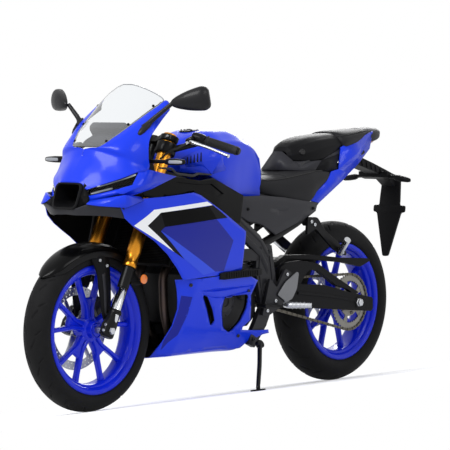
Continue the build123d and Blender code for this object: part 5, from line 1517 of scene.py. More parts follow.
piece("mirror_stalks", stalks, mirror_black)
piece("mirror_glasses", glasses, mirror_glass)

# ---------------------------------------------------------------- front indicators
# Rubber stems with rounded pods; a clear lens is let into the front and side of each pod.


def pod(root, tip, tall, deep, ahead=0.0):
    """Rounded sections from the stem to the tip, full at first and thinner towards the end."""
    angle = circle(20)
    power = [np.abs(wave) ** OVAL_POWER * np.sign(wave) for wave in (np.cos(angle), np.sin(angle))]
    rows = []
    for t, scale in ((0, 0.35), (0.05, 0.75), (0.2, 1), (0.55, 0.98), (0.85, 0.8), (0.96, 0.6), (1, 0.3)):
        at = mix(root, tip, t) + [ahead, 0, 0]
        rows.append(np.stack(
            [at[0] + deep * scale * power[0], at[1] + 0 * angle, at[2] + tall * scale * power[1]], -1))
    return loft(rows)


def indicators(where, stem, shell, glass):
    """A pair of indicators: the stem's route, the shell's pod and the lens's pod."""
    stems = [tube(stem, (8, 6.5), 4, 14), pod(*shell, 12, 13)]
    piece(
        where + "_indicator_pods", two_sided(stems), satin_black, [where + "_indicators"])
    piece(where + "_indicator_lenses", two_sided([pod(*glass)]), indicator_clear)


indicator_clear = lacquer("polycarbonate_indicator_lens", "8E9194", "9A9DA0", 0.2, 0.6)
indicators(
    "front", [(1238, 160, 886), (1240, 250, 886)], ((1240, 242, 886), (1246, 340, 886)),
    ((1240, 258, 886), (1246, 334, 886), 8.0, 10, 4.5))

# ---------------------------------------------------------------- tank
# A pressed steel tank with a crease along its shoulder and knee hollows behind, in the same blue. The
# filler cap is a machined ring with a lock, set flush in the top.

# x, then (y, z) of the middle, ridge, shoulder, cheek, flank, hollow and foot
TANK_ROWS = (
    (1002, (0, 874), (5, 874), (12, 870), (15, 866), (16, 860), (15, 856), (14, 850)),
    (1000, (0, 900), (30, 897), (76, 880), (94, 866), (98, 857), (96, 850), (92, 843)),
    (986, (0, 918), (36, 914), (84, 893), (104, 876), (110, 862), (108, 850), (102, 840)),
    (930, (0, 963), (54, 957), (110, 923), (136, 902), (151, 876), (156, 856), (155, 833)),
    (850, (0, 989), (78, 984), (140, 946), (161, 916), (168, 885), (168, 842), (162, 800)),
    (776, (0, 992), (82, 989), (138, 950), (156, 918), (162, 885), (156, 828), (146, 768)),
    (700, (0, 989), (78, 986), (130, 944), (142, 912), (145, 880), (134, 812), (126, 746)),
    (615, (0, 955), (70, 950), (118, 921), (124, 895), (122, 868), (112, 800), (106, 733)),
    (556, (0, 928), (58, 924), (98, 884), (104, 850), (106, 820), (103, 780), (99, 730)),
    (546, (0, 918), (50, 914), (86, 874), (92, 845), (94, 820), (91, 782), (88, 735)),
    (545, (0, 850), (4, 850), (8, 842), (9, 830), (9, 815), (9, 800), (8, 780)))
TANK_MIDDLE = np.array([780.0, 0, 820])
piece(
    "tank_shell", both(grid(half_body(TANK_ROWS, 7, 6, (1, 2, 8, 9), (2,))), TANK_MIDDLE), blue_paint,
    ["fuel_tank"], wall=2)
CAP = np.array([838.0, 0, 989.5])
CAP_AXIS = (0.06, 0, 1)
cap = [spun(
    [(POLE, 5), (20, 5), (24, 4), (25, 2), (32, 3), (38, 2.5), (40, 0), (40, -3)], CAP, CAP_AXIS, 56)]
cap += [
    screw(CAP + [31.5 * math.cos(a), 31.5 * math.sin(a), 3.2], CAP_AXIS, 2.6)
    for a in np.arange(7) * 2 * math.pi / 7]
cap.append(spun([(POLE, 7), (7, 7), (8, 5.5), (8, 4.5)], CAP + [6, 0, 0], CAP_AXIS, 24))
piece("filler_cap", cap, cast_black, closed=False)
# ahead of the knee the tank's side is folded into flat facets, with five slanted slots in the foremost
FRONT_SIDE = {
    "a": (985, 94, 892), "b": (958, 106, 909), "c": (909, 134, 929), "d": (858, 170, 893),
    "e": (905, 166, 834), "f": (944, 152, 878), "g": (986, 111, 866), "h": (974, 116, 843),
    "i": (836, 170, 846), "j": (786, 157, 908), "k": (845, 146, 942)}
FRONT_FACES = (
    ("a", "b", "f", "g"), ("b", "c", "f"), ("c", "d", "f"), ("f", "d", "e"), ("g", "f", "e", "h"),
    ("d", "i", "e"), ("c", "k", "d"), ("k", "j", "d"), ("j", "i", "d"))
piece(
    "tank_side_facets", faceted(FRONT_SIDE, FRONT_FACES, (930, 60, 880)), blue_paint, wall=4,
    sharp=6)
slots = []
for t in np.linspace(0, 1, 5):
    ends = [mix((980, 114, 872), (946, 150, 882), t), mix((968, 105, 896), (926, 133, 912), t)]
    slots.append(tube(ends, (2.8, 2.2), 2, 8))
piece("tank_slots", two_sided(slots), satin_black)

# ---------------------------------------------------------------- seats
# Foam pads under stretched grained vinyl, with piping round the top panel and a cross seam. The cover
# is drawn in a little at the seams and swells between them.
vinyl = skin(
    "seat_vinyl_grained", "121214", "1C1C1F", (9.0, 3.0), {"scale": 520.0}, 0.25, 0.0005, 0.55, 0.15,
    "TexVoronoi")
RIDER_ROWS = (
    (566, (0, 800), (40, 800), (78, 793), (94, 776), (90, 758)),
    (556, (0, 812), (50, 812), (92, 803), (106, 780), (99, 754)),
    (510, (0, 812), (62, 813), (106, 802), (118, 775), (112, 742)),
    (440, (0, 815), (70, 817), (112, 806), (125, 770), (119, 728)),
    (364, (0, 828), (76, 829), (116, 815), (130, 770), (122, 716)),
    (280, (0, 838), (78, 838), (116, 826), (128, 772), (121, 711)),
    (226, (0, 842), (74, 841), (108, 832), (121, 792), (114, 749)),
    (150, (0, 842), (66, 841), (96, 833), (109, 811), (101, 786)),
    (112, (0, 838), (56, 837), (82, 832), (95, 817), (89, 800)),
    (104, (0, 830), (46, 830), (70, 826), (83, 817), (78, 809)))
PILLION_ROWS = (
    (46, (0, 972), (40, 971), (62, 962), (76, 946), (70, 928)),
    (36, (0, 981), (50, 978), (80, 965), (94, 944), (86, 920)),
    (-60, (0, 988), (45, 985), (74, 975), (85, 958), (78, 934)),
    (-160, (0, 992), (27, 990), (49, 983), (57, 971), (50, 952)),
    (-182, (0, 988), (20, 987), (38, 980), (46, 970), (42, 956)))
for name, rows, replaced in (
        ("rider_pad", RIDER_ROWS, "rider_seat"), ("pillion_pad", PILLION_ROWS, "pillion_seat")):
    half = half_body(rows, 8, 7)
    seam = np.minimum(np.abs(np.arange(half.shape[1]) - 14.5) / 2.2, 1.0)
    half[:, :, 2] -= 1.6 * (1 - seam)[None, :]
    middle = np.array([half[:, 0, 0].mean(), 0, half[:, :, 2].min() + 20])
    under = half[:, -1:].copy()
    under[..., 1] = 0
    shell = both(grid(np.concatenate([half, under], 1)), middle)
    pad = piece(name, shell, vinyl, [replaced], level=1, sharp=80)
    line = half[:, 14]
    piping = [tube(line[::3] + [0, 0.4, 1.2], 1.7, 4, 8, 2)]
    piece(name + "_piping", two_sided(piping), grip_rubber)
across = half_body(RIDER_ROWS, 8, 7)[27]
seam = np.concatenate([across[15::-1] * [1, -1, 1], across[1:16]])
piece("rider_cross_seam", [tube(seam[::2] + [0, 0, 0.6], 1.4, 4, 8, 2)], grip_rubber)
# the hump between the pads is a black moulded cover with the seat lock in its left side
HUMP_ROWS = (
    (312, (0, 906), (14, 906), (26, 900), (30, 888), (28, 876)),
    (304, (0, 924), (26, 922), (42, 910), (50, 892), (48, 872)),
    (280, (0, 940), (36, 936), (58, 922), (68, 898), (66, 870)),
    (240, (0, 954), (42, 950), (68, 934), (84, 902), (82, 869)),
    (180, (0, 965), (44, 961), (73, 946), (93, 912), (92, 874)),
    (100, (0, 972), (46, 968), (74, 953), (92, 926), (90, 898)),
    (48, (0, 975), (46, 971), (72, 956), (88, 934), (84, 916)),
    (40, (0, 968), (44, 965), (66, 950), (80, 934), (76, 918)))
hump = half_body(HUMP_ROWS, 7, 6, (1, 6), (2, 3))
piece("seat_hump_cover", both(grid(hump), (200, 0, 880)), satin_black, wall=2.5)
lock = spun([(POLE, 2), (6, 2), (7, 3), (11, 3), (13, 1), (13, -4)], (268, 71, 905), (0.35, 0.84, 0.4), 32)
piece("seat_lock", [lock], cast_black, closed=False)

# ---------------------------------------------------------------- tail
# Two blue blades rise to the tail on a grey inner moulding, over a black undertray; the lamp sits under
# a grey tip between them.
BLADE = {
    "tip": (-194, 58, 981), "top": (55, 93, 921), "edge": (66, 99, 896), "notch": (80, 103, 836),
    "heel": (130, 107, 828), "bend": (168, 112, 790), "toe": (292, 122, 722), "low": (224, 119, 709),
    "under": (60, 103, 789), "waist": (-2, 88, 817), "belly": (-73, 78, 852), "rear": (-166, 64, 912),
    "ridge": (-52, 90, 896)}
BLADE_FACES = (
    ("tip", "top", "edge", "ridge"), ("ridge", "edge", "notch"), ("ridge", "notch", "waist", "belly"),
    ("tip", "ridge", "belly", "rear"), ("notch", "heel", "under", "waist"), ("heel", "bend", "under"),
    ("bend", "toe", "low", "under"))
piece(
    "tail_blades", faceted(BLADE, BLADE_FACES, (60, 0, 850)), blue_paint, ["tail_cowl"],
    wall=5, sharp=7)
INNER = {
    "nose": (330, 22, 907), "a": (306, 58, 870), "b": (250, 84, 868), "c": (179, 95, 872),
    "top": (50, 88, 916), "edge": (64, 94, 897), "crook": (104, 102, 829), "low_c": (231, 106, 835),
    "low_b": (300, 100, 835), "low_a": (338, 78, 836), "low_n": (350, 26, 836), "front": (354, 0, 836),
    "front_top": (334, 0, 907)}
inner_faces = (
    ("nose", "a", "low_a", "low_n"), ("a", "b", "low_b", "low_a"), ("b", "c", "low_c", "low_b"),
    ("c", "top", "edge"), ("front_top", "nose", "low_n", "front"))
hollow_faces = (("c", "edge", "crook", "low_c"),)
for name, faces, material in (
        ("tail_inner_band", inner_faces, satin_grey), ("tail_hollow", hollow_faces, satin_black)):
    piece(name, faceted(INNER, faces, (150, 0, 850)), material, wall=3, sharp=7)
TIP_ROWS = (
    (-140, (0, 993), (36, 988), (58, 970), (60, 938)), (-210, (0, 997), (34, 992), (57, 974), (58, 944)),
    (-262, (0, 993), (24, 990), (40, 978), (40, 960)), (-286, (0, 986), (10, 985), (18, 981), (16, 972)))
piece(
    "tail_tip_cover", both(grid(half_body(TIP_ROWS, 6, 5)), (-200, 0, 950)), satin_grey,
    wall=3)
red_lens = moulded_lens(
    "red_moulded_lens", "8E0A0C", 0.12, 0.8, 0.5, "TexWave", 0.5, 0.001, scale=60.0, bands_direction="Y")
LAMP = ((-238, 978), (-196, 954), (-150, 942), (-150, 918), (-214, 937), (-246, 962))
lamp_rows = []
for y, scale in ((-54, 0.5), (-50, 0.82), (-30, 0.97), (0, 1.0), (30, 0.97), (50, 0.82), (54, 0.5)):
    outline = about(LAMP, (-165, 945), [scale, 0.75 + 0.25 * scale])
    lamp_rows.append(np.insert(outline, 1, y, axis=1))
piece("tail_lamp_lens", [loft(lamp_rows)], red_lens, ["tail_lamp"], bevel=1.5)

# number plate carrier: a ribbed arm, a cross bar with the plate's two holes and a pointed flap
ARM_ROWS_X = (
    (-62, 30, 868, 888), (-150, 34, 842, 880), (-240, 34, 818, 852), (-330, 33, 788, 822),
    (-376, 32, 756, 806), (-398, 28, 770, 802))
arm = loft([
    [(x, -y, low), (x, -y * 0.8, high), (x, y * 0.8, high), (x, y, low)] for x, y, low, high in ARM_ROWS_X])


def station_heights(rows, x):
    """The low and high z at x, straight between rows of x, y, low and high whose x falls."""
    return [np.interp(-x, [-row[0] for row in rows], [row[k] for row in rows]) for k in (2, 3)]


carrier = [arm]
for index in range(9):
    x = -100 - index * 30
    low, high = station_heights(ARM_ROWS_X, x)
    for side in (-1, 1):
        web = [(side * 29, low + 3), (side * 37, low + 5), (side * 30, high - 4)]
        carrier.append(loft([[(x + step, y, z) for y, z in web] for step in (-3, 3)]))


def flap_x(z):
    """The flap's rear face leans forward as it falls, on the line of its carrier."""
    return np.interp(z, (474, 640, 806), (-362, -384, -404))


FLAP = rounded(
    [(-44, 802), (44, 802), (50, 700), (50, 679), (78, 679), (78, 652), (60, 650), (13, 474), (-13, 474),
     (-60, 650), (-78, 652), (-78, 679), (-50, 679), (-50, 700)], 7, 3)
flap_rows = [
    np.stack([flap_x(FLAP[:, 1]) + step, FLAP[:, 0] * size, FLAP[:, 1]], -1)
    for step, size in ((1, 0.97), (0, 1.0), (9, 1.0), (10, 0.97))]
carrier.append(loft(flap_rows))
for side in (-1, 1):
    carrier.append(spun(
        [(3.4, -3), (8, -3), (8, 1), (3.4, 1)], (flap_x(666), side * 68, 666), (-1, 0, 0), 24, ring=True))
for start, end in (
        ((-40, 790), (30, 700)), ((40, 790), (-30, 700)), ((-50, 640), (0, 560)), ((50, 640), (0, 560)),
        ((0, 690), (0, 490))):
    carrier.append(tube([(flap_x(z) + 1.6, y, z) for y, z in (start, end)], 3, 2, 8))
carrier.append(plate([(-270, 818), (-310, 806), (-310, 786), (-270, 796)], -72, 72))
piece("plate_carrier", carrier, satin_black, ["plate_holder"], bevel=1.2)
indicators(
    "rear", [(-290, 60, 800), (-290, 98, 796)], ((-290, 92, 796), (-296, 168, 785)),
    ((-292, 104, 795.5), (-296, 165, 785.5), 9.5, 11, -4.0))

# side covers under the seat: dark grey mouldings, bevelled round the edge, with a quarter-turn screw
COVER = (
    (770, 733), (722, 748), (587, 748), (452, 738), (284, 717), (222, 711), (238, 678), (284, 660),
    (330, 648), (510, 597), (600, 640), (688, 656), (757, 686))
COVER_OUT = ((190, 112), (330, 129), (560, 146), (800, 158))


def cover_out(x, z):
    """How far out a side cover stands: straight between stations, rounder towards its upper edge."""
    return np.interp(
        x, [s[0] for s in COVER_OUT], [s[1] for s in COVER_OUT]) - np.maximum(z - 715, 0) * 0.25


outline = np.array(COVER, float)
middle = outline.mean(0)
cover_rows = []
for share, proud in ((1.0, -5), (0.985, -1), (0.95, 1.5), (0.6, 3.5), (0.25, 4.5), (0.01, 4.5)):
    flat = middle + (outline - middle) * share
    cover_rows.append(stood_out(flat[:, 0], flat[:, 1], cover_out, proud))
cover = grid(np.array(cover_rows), round_columns=True)
piece(
    "side_cover_panels", both(cover, (500, 0, 690)), satin_grey, ["side_covers"], wall=3,
    sharp=50)
cover_screws = [
    screw((x, cover_out(np.array(x), z) + 3, z), (0, 1, 0), 6) for x, z in ((268, 690), (690, 700))]
piece("side_cover_screws", two_sided(cover_screws), satin_black)

# ---------------------------------------------------------------- lower fairing
# The blue belly panel has a teardrop window over the engine cover, a curved slot ahead of it, a stepped
# recess along its top and a ribbed black slider above. Its leading edge is folded back, and a dark blue
# film over the fold is painted shade.
LOWER_OUT_Z = (172.0, 228.0, 290.0, 352.0, 420.0, 480.0)
LOWER_OUT = (
    (540, (149, 152, 164, 170, 182, 196)), (700, (104, 128, 158, 172, 188, 198)),
    (900, (80, 122, 150, 176, 200, 212)), (1130, (64, 97, 128, 158, 190, 204)))
STEP = np.array([(993, 417), (690, 424), (702, 397), (863, 376), (930, 388)], float)
lower_table = table_out(LOWER_OUT, LOWER_OUT_Z)
step_floor = about(STEP, STEP.mean(0), [0.955, 0.72])
FOLD_X, FOLD_SLOPE, STEP_DEPTH = 1028, 0.45, 6.0


def lower_out(x, z):
    """The belly's surface, folded back along its front and sunk in the stepped recess."""
    sunk = within(np.stack([x, z], -1), about(step_floor, STEP.mean(0), 1.02))
    return lower_table(x, z) - np.maximum(x - FOLD_X, 0) * FOLD_SLOPE - STEP_DEPTH * sunk


LOWER_EDGE = (
    (1104, 461), (1092, 425), (1078, 386), (1068, 352), (1066, 290), (1080, 228), (1096, 175),
    (1026, 178), (944, 185), (860, 189), (775, 190), (718, 179), (683, 183), (657, 206), (622, 217),
    (590, 229), (560, 233), (566, 246), (616, 246), (702, 252), (706, 264), (677, 289), (684, 330),
    (699, 384), (672, 438), (790, 482), (906, 466), (1000, 462))
TEARDROP = rounded(
    [(856, 384), (800, 387), (717, 388), (711, 340), (736, 282), (768, 246), (818, 272), (852, 340)], 16)
SLOT = rounded([(976, 398), (956, 397), (908, 344), (875, 298), (887, 281), (901, 300), (943, 357)], 9)
belly_skin = cut_sheet(LOWER_EDGE, lower_out, (TEARDROP, SLOT), (STEP, step_floor))
floor_x = np.linspace(1094, 700, 28)
edge_z = np.interp(
    -floor_x, (-1096, -1026, -944, -860, -775, -718, -700), (175, 178, 185, 189, 190, 179, 181))
edge_y = lower_out(floor_x, edge_z)
floor_rows = np.stack(
    [np.stack([floor_x, edge_y * share, edge_z + (169 - edge_z) * drop], -1)
     for share, drop in ((1.0, 0.0), (0.92, 0.3), (0.7, 0.75), (0.35, 1.0), (0.0, 1.0))], 1)
belly_middle = np.array([880.0, 0, 320])
under = facing(grid(floor_rows), belly_middle)
for side, name in SIDES:
    piece(
        "belly_panel_" + name, sided([belly_skin, under], side), blue_paint,
        ["lower_cowl"] if side > 0 else (), wall=3, sharp=24, inner=panel_back)
# the dark blue film laid over the folded leading edge is painted shade, for the dark reflection along that
# edge
FOLD = (
    (1070, 402), (1030, 396), (1026, 332), (1035, 257), (1071, 200), (1076, 232), (1063, 290), (1064, 352))
fold = cut_sheet(FOLD, lambda x, z: lower_out(x, z) + 0.5, pitch=12.0)
piece("belly_fold_painted_shade", two_sided([fold]), dark_blue_and_painted_shade, closed=False)
slot_liner = cut_sheet(SLOT, lambda x, z: lower_table(x, z) - 16, pitch=12.0)
piece("belly_liners", two_sided([slot_liner]), panel_back, wall=2)
rims = []
for loop in (TEARDROP, SLOT):
    ring = stood_out(loop[:, 0], loop[:, 1], lower_out, 0.0)
    ring = np.concatenate([ring, ring[:1]])
    rims.append(grid(np.stack([ring + [0, 0.2, 0], ring + [0, -6, 0], ring + [0, -14, 0]])))
piece("belly_opening_walls", two_sided(rims), panel_back, wall=1.5)
slider = [loft([
    [(661, 186, 455), (661, 186, 483), (661, 200, 481), (661, 200, 457)],
    [(700, 186, 452), (700, 186, 485), (700, 205, 482), (700, 205, 456)],
    [(880, 190, 449), (880, 190, 482), (880, 219, 479), (880, 219, 453)],
    [(910, 190, 452), (910, 190, 478), (910, 214, 476), (910, 214, 455)]])]
for index in range(14):
    x = 690 + index * 14.5
    y = np.interp(x, (661, 700, 880, 910), (200, 205, 219, 214))
    slider.append(rib(x, 2.4, 457, 478, y - 3, y + 2.2))
piece("ribbed_sliders", two_sided(slider), satin_black, bevel=0.8)
heads = [
    screw((x, lower_out(np.array([x]), np.array([z]))[0] + 0.5, z), (0.1, 1, -0.25), 6.5)
    for x, z in ((715.0, 232.0), (712.0, 400.0), (1046.0, 440.0))]
piece("belly_screws", two_sided(heads), black_metal)

# ---------------------------------------------------------------- inner panels
# Glossy black infill between the side panel and the tank with a grey rail on top, and the cockpit's
# black inner moulding behind the nose.
DUCT_Z = (620.0, 720.0, 760.0, 820.0, 880.0)
DUCT_OUT = (
    (730, (196, 184, 178, 164, 156)), (900, (199, 196, 193, 185, 172)), (1100, (196, 194, 191, 184, 174)),
    (1300, (190, 187, 185, 180, 174)))
duct_table = table_out(DUCT_OUT, DUCT_Z)
DUCT_EDGE = (
    (1262, 848), (1147, 833), (990, 813), (915, 821), (741, 753), (775, 642), (850, 684), (1029, 776),
    (1180, 756), (1290, 762))
RECESS = np.array([(1120, 812), (1000, 800), (925, 800), (860, 762), (905, 745), (1020, 790)], float)
recess_floor = about(RECESS, RECESS.mean(0), 0.9)
DUCT_WALL, RECESS_DEPTH = 3, 5.0


def duct_out(x, z):
    """The infill's surface, with a recess along its upper part."""
    sunk = within(np.stack([x, z], -1), about(recess_floor, RECESS.mean(0), 1.02))
    return duct_table(x, z) - DUCT_WALL - RECESS_DEPTH * sunk


duct = cut_sheet(DUCT_EDGE, duct_out, (), (RECESS, recess_floor))
piece("duct_infills", two_sided([duct]), gloss_black, ["duct_panels"], wall=3, sharp=24)
rail = [tube(
    [(1196, 174, 862), (1129, 174, 858), (1116, 180, 840), (1024, 183, 830), (994, 174, 838),
     (908, 166, 832)], (3, 5, 5, 5, 5, 3), 12, 10)]
piece("grey_rails", two_sided(rail), satin_grey)
INNER_COWL = ((1268, 858), (1268, 950), (1242, 950), (1208, 850), (1152, 836), (1152, 808), (1298, 808))
cockpit = [plate(INNER_COWL, 161, 165)]
cockpit += [rib(x, 2, 812, 846, 156, 162) for x in (1176, 1204, 1232, 1260)]
piece("cockpit_inner_panel", two_sided(cockpit), satin_black, ["cockpit_panel"], bevel=1.5)

# ---------------------------------------------------------------- radiator
# An aluminium core painted black: thin slats between two side tanks. The slats are
# 6 mm apart.
CORE_HEIGHT, CORE_AHEAD = 706.0, -106.0


def core_block(half_depth, half_width, low, high):
    """A block across the radiator, from one height along the steering axis to another."""
    ends = (CORE_AHEAD - half_depth, CORE_AHEAD + half_depth)
    outline = [(ends[0], -half_width), (ends[1], -half_width), (ends[1], half_width), (ends[0], half_width)]
    return steering_plate(outline, low, high)


core = [core_block(8, 132, CORE_HEIGHT - 86, CORE_HEIGHT + 86)]
for index in range(28):
    low = CORE_HEIGHT - 84 + index * 6.1
    core.append(core_block(12, 131, low, low + 1.2))
for side in (-1, 1):
    tank = [
        (CORE_AHEAD + ahead, side * out)
        for ahead, out in ((-14, 130), (14, 130), (14, 141), (9, 145), (-9, 145), (-14, 141))]
    core.append(steering_plate(tank, CORE_HEIGHT - 92, CORE_HEIGHT + 92))
for low in (-92, 84):
    core.append(core_block(13, 131, CORE_HEIGHT + low, CORE_HEIGHT + low + 8))
piece("radiator_core", core, cast_black, ["radiator"])

# ---------------------------------------------------------------- frame
# Twin spars of cast and welded aluminium painted dark grey: a chamfered section with a channel along the
# outer face. The pivot castings behind them have raised rims, and black tubes carry the seat.
frame_grey = lacquer("frame_cast_dark_grey_paint", "242428", "1C1C20", 0.45, 0.15)
SPAR = (
    (1104, 26, 822, 40, 72), (1046, 38, 812, 40, 80), (985, 102, 780, 34, 84), (900, 134, 736, 30, 80),
    (800, 142, 690, 28, 78), (600, 132, 560, 26, 80), (556, 131, 500, 26, 96))
SPAR_SECTION = (
    (0.5, -0.34), (0.5, -0.2), (0.36, -0.14), (0.36, 0.14), (0.5, 0.2), (0.5, 0.34), (0.3, 0.5),
    (-0.3, 0.5), (-0.5, 0.34), (-0.5, -0.34), (-0.3, -0.5), (0.3, -0.5))
rows = np.array(SPAR, float)
spar = loft([[(x, y + a * w, z + b * h) for a, b in SPAR_SECTION] for x, y, z, w, h in rows])
head = spun(
    [(18, -62), (27, -62), (29, -58), (29, 58), (27, 62), (18, 62)], on_steering(838), tuple(STEER_UP),
    48, ring=True)
mount = plate([(691, 552), (583, 552), (590, 505), (698, 508)], 126, 138)
piece(
    "frame_spars", [spar, mirrored(spar), head, mount, mirrored(mount)], frame_grey,
    ["frame"], bevel=1.5, sharp=30)
PIVOT = (
    (530, 560), (612, 572), (622, 470), (590, 330), (648, 240), (660, 196), (628, 182), (560, 260),
    (512, 350), (505, 430))
pocket = about(np.array(PIVOT)[[0, 1, 2, 3, 8, 9]], (568, 450), 0.66)
casting = [plate(PIVOT, 118, 138)]
ring = np.concatenate([pocket, pocket[:1]])
casting += [tube([(x, 138, z) for x, z in ring], 4.0, 12, 8, 3)]
casting += [spun(
    [(POLE, 8), (14, 8), (16, 6), (16, 2), (22, 2), (24, 0), (24, -4), (POLE, -4)], (555, 138, 399),
    (0, 1, 0), 40)]
casting += [screw((x, 138, z), (0, 1, 0), 7) for x, z in ((548, 536), (596, 552), (604, 474), (636, 214))]
piece("pivot_castings", two_sided(casting), frame_grey, ["pivot_plates"], bevel=2.5, sharp=30)
rails = [
    tube([(575, 118, 560), (323, 112, 648), (100, 92, 800), (-120, 62, 900)], (18, 16, 11.5, 10), 60),
    tube([(590, 118, 640), (420, 100, 712), (180, 92, 800), (60, 84, 850), (-120, 62, 900)], 11.5, 60)]
crosses = [
    tube([(x, -y, z), (x, y, z)], 9, 4) for x, y, z in ((323, 110, 648), (180, 90, 800), (-110, 60, 896))]
piece("seat_rails", two_sided(rails) + crosses, cast_black, ["subframe"])
stay = [
    tube([(1112, 0, 824), (1240, 0, 880), (1330, 0, 890)], 13.5, 40),
    tube([(1262, -182, 900), (1262, 182, 900)], 8.6, 4)]
piece("nose_stay", stay, cast_black, ["front_stay"])

# ---------------------------------------------------------------- swingarm
# A deep box arm with a gull-shaped brace welded over it on the left, satin black, with bright axle nuts,
# adjuster blocks, and the shock absorber ahead of the wheel.
ARM = (
    (-92, 284), (-80, 275), (308, 310), (412, 328), (440, 340), (430, 402), (363, 405), (209, 393),
    (60, 358), (-84, 330), (-92, 322))
EAR = ((400, 340), (575, 376), (582, 399), (572, 420), (540, 424), (420, 398), (400, 390))
BRACE = (
    (484, 470), (444, 490), (362, 495), (250, 478), (166, 434), (-8, 352), (30, 346), (66, 370),
    (138, 387), (251, 450), (307, 457), (346, 420), (360, 398), (430, 398), (484, 420))
arms = [
    plate(ARM, 114, 141), plate(EAR, 53, 79),
    plate([(340, 336), (440, 342), (440, 398), (340, 392)], 60, 132)]
brace = plate(rounded(BRACE, 14), 118, 138)
channel = [tube([(380, 140, 372), (209, 140, 352), (-40, 140, 312)], (7, 6, 4), 20, 10)]
axle_eye = [spun(
    [(9, -1.5), (22, -1.5), (24, 1), (24, 3), (9, 3)], REAR_CENTRE + [0, 140, 0], (0, 1, 0), 36, ring=True)]
pieces = arms + channel + axle_eye
pivot = spun(
    [(10, -118), (21, -118), (22, -112), (22, 112), (21, 118), (10, 118)], (555, 0, 399), (0, 1, 0), 40,
    ring=True)
piece(
    "swingarm_box", two_sided(pieces) + [brace, pivot], satin_black, ["swingarm"],
    bevel=3.5, sharp=30)
axle = [spun([(POLE, -150), (8.3, -150), (8.3, 150), (POLE, 150)], REAR_CENTRE, (0, 1, 0), 32)]
for side in (-1, 1):
    nut = spun(
        [(POLE, 156), (11, 156), (14.5, 153.5), (14.5, 146), (17, 145), (17, 142.5), (POLE, 142.5)],
        REAR_CENTRE, (0, side, 0), 6)
    axle += [
        nut,
        plate(
            [(-30, REAR_RADIUS - 14), (-30, REAR_RADIUS + 14), (-36, REAR_RADIUS + 14),
             (-36, REAR_RADIUS - 14)], side * 128 - 10, side * 128 + 10)]
    axle.append(tube([(-36, side * 128, REAR_RADIUS), (-84, side * 128, REAR_RADIUS)], 4, 4, 10))
piece("rear_axle_set", axle, bright_steel, ["rear_axle"], bevel=0.8)
COIL_LOW, COIL_HIGH = np.array([440.0, 0, 418]), np.array([518.0, 0, 504])
axis = unit(COIL_HIGH - COIL_LOW)
across, side = np.array([0, 1.0, 0]), np.cross([0, 1.0, 0], axis)
COIL_TURNS, COIL_LENGTH, COIL_RADIUS = 6.5, 112, 23.5
turn = np.linspace(0, COIL_TURNS * 2 * math.pi, 110)
coil = COIL_LOW + axis * (turn / turn[-1] * COIL_LENGTH)[:, None] + COIL_RADIUS * (
    np.cos(turn)[:, None] * across + np.sin(turn)[:, None] * side)
shock = [tube(coil, 4.6, 1, 10, 2)]
damper = [
    tube([COIL_LOW - axis * 30, COIL_LOW + axis * 60], 9, 4),
    tube([COIL_LOW + axis * 30, COIL_HIGH + axis * 20], 15, 4)]
for end, way in ((COIL_LOW, -1), (COIL_HIGH, 1)):
    damper.append(spun([(POLE, 4), (20, 4), (28, 1), (28, -4), (POLE, -4)], end, tuple(axis * way), 36))
damper.append(tube([(418, 0, 394), (452, 0, 430)], 11, 4))
damper.append(tube([(508, 0, 494), (546, 0, 536)], 15, 4))
piece("shock_spring", shock, cast_black)
piece("shock_damper", damper, bright_steel, ["shock_absorber"], bevel=1)

# ---------------------------------------------------------------- engine and exhaust
# An upright engine in satin black sand castings: crankcase, finned cylinder, and round covers with a ring
# of screws. The headers are heat-tinted steel and the silencer is a black box with a bright end.
casting_black = skin(
    "aluminium_sand_cast_black", "18181A", "2A2A2D", (8.0, 4.0), {"scale": 900.0, "detail": 3.0}, 0.35,
    0.0004, 0.5, 0.18)
CRANKCASE = (
    (592, 300), (640, 262), (900, 262), (975, 290), (985, 380), (1000, 470), (985, 495), (640, 495),
    (598, 455))
CYLINDER = ((842, 484), (983, 484), (1028, 610), (998, 648), (880, 663), (852, 620))
SUMP = ((652, 241), (928, 241), (958, 299), (928, 328), (652, 328))
engine = [
    plate(CRANKCASE, -111, 111), plate(SUMP, -83, 83), plate(about(CYLINDER, (935, 570), 0.93), -78, 78)]
for index in range(9):
    low = 496 + index * 13
    shift = (low - 484) * 0.32
    engine.append(plate(
        [(848 + shift * 0.5, low), (984 + shift, low - 4), (984 + shift, low),
         (848 + shift * 0.5, low + 4)], -84, 84))
engine.append(plate([(872, 640), (1012, 626), (1000, 650), (880, 664)], -70, 70))
piece("engine_castings", engine, casting_black, ["engine_block"], bevel=5, sharp=30)
# radians from screw to screw round a cover
COVER_SCREW_STEP = 0.898
covers = []
for x, z, radius, side, outer in (
        (800.0, 366.0, 65.0, 1, 141.0), (790.0, 374.0, 71.0, -1, 143.0), (672.0, 396.0, 36.0, 1, 132.0)):
    centre = np.array([x, 0, z])
    covers.append(spun(
        [(POLE, outer - 4), (radius * 0.3, outer - 4), (radius * 0.34, outer), (radius * 0.62, outer),
         (radius * 0.7, outer - 5), (radius * 0.9, outer - 8), (radius * 0.96, outer - 12),
         (radius, outer - 20), (radius, 108)], centre, (0, side, 0), 64))
    covers += [
        screw(
            centre + [radius * 0.86 * math.cos(a), side * (outer - 8), radius * 0.86 * math.sin(a)],
            (0, side, 0), 4.5) for a in np.arange(7) * COVER_SCREW_STEP]
piece("engine_round_covers", covers, satin_grey, ["engine_covers"], closed=False)
heat_steel = metal("exhaust_steel_heat_tinted", "5A4A40", "35353A", 0.32)
headers = [tube(
    [(1008, 60, 520), (1052, 60, 470), (1046, 60, 330), (985, 40, 218), (760, 20, 214)], 16.5, 50, 20)]
headers = two_sided(headers)
headers.append(tube(
    [(790, 0, 214), (620, -40, 220), (530, -100, 236), (450, -196, 262), (415, -205, 279)], 19.5, 50, 24))
headers += [
    spun([(16, -5), (26, -5), (28, 0), (26, 5), (16, 5)], (1012, y, 516), (0.66, 0, -0.75), 28, ring=True)
    for y in (-60, 60)]
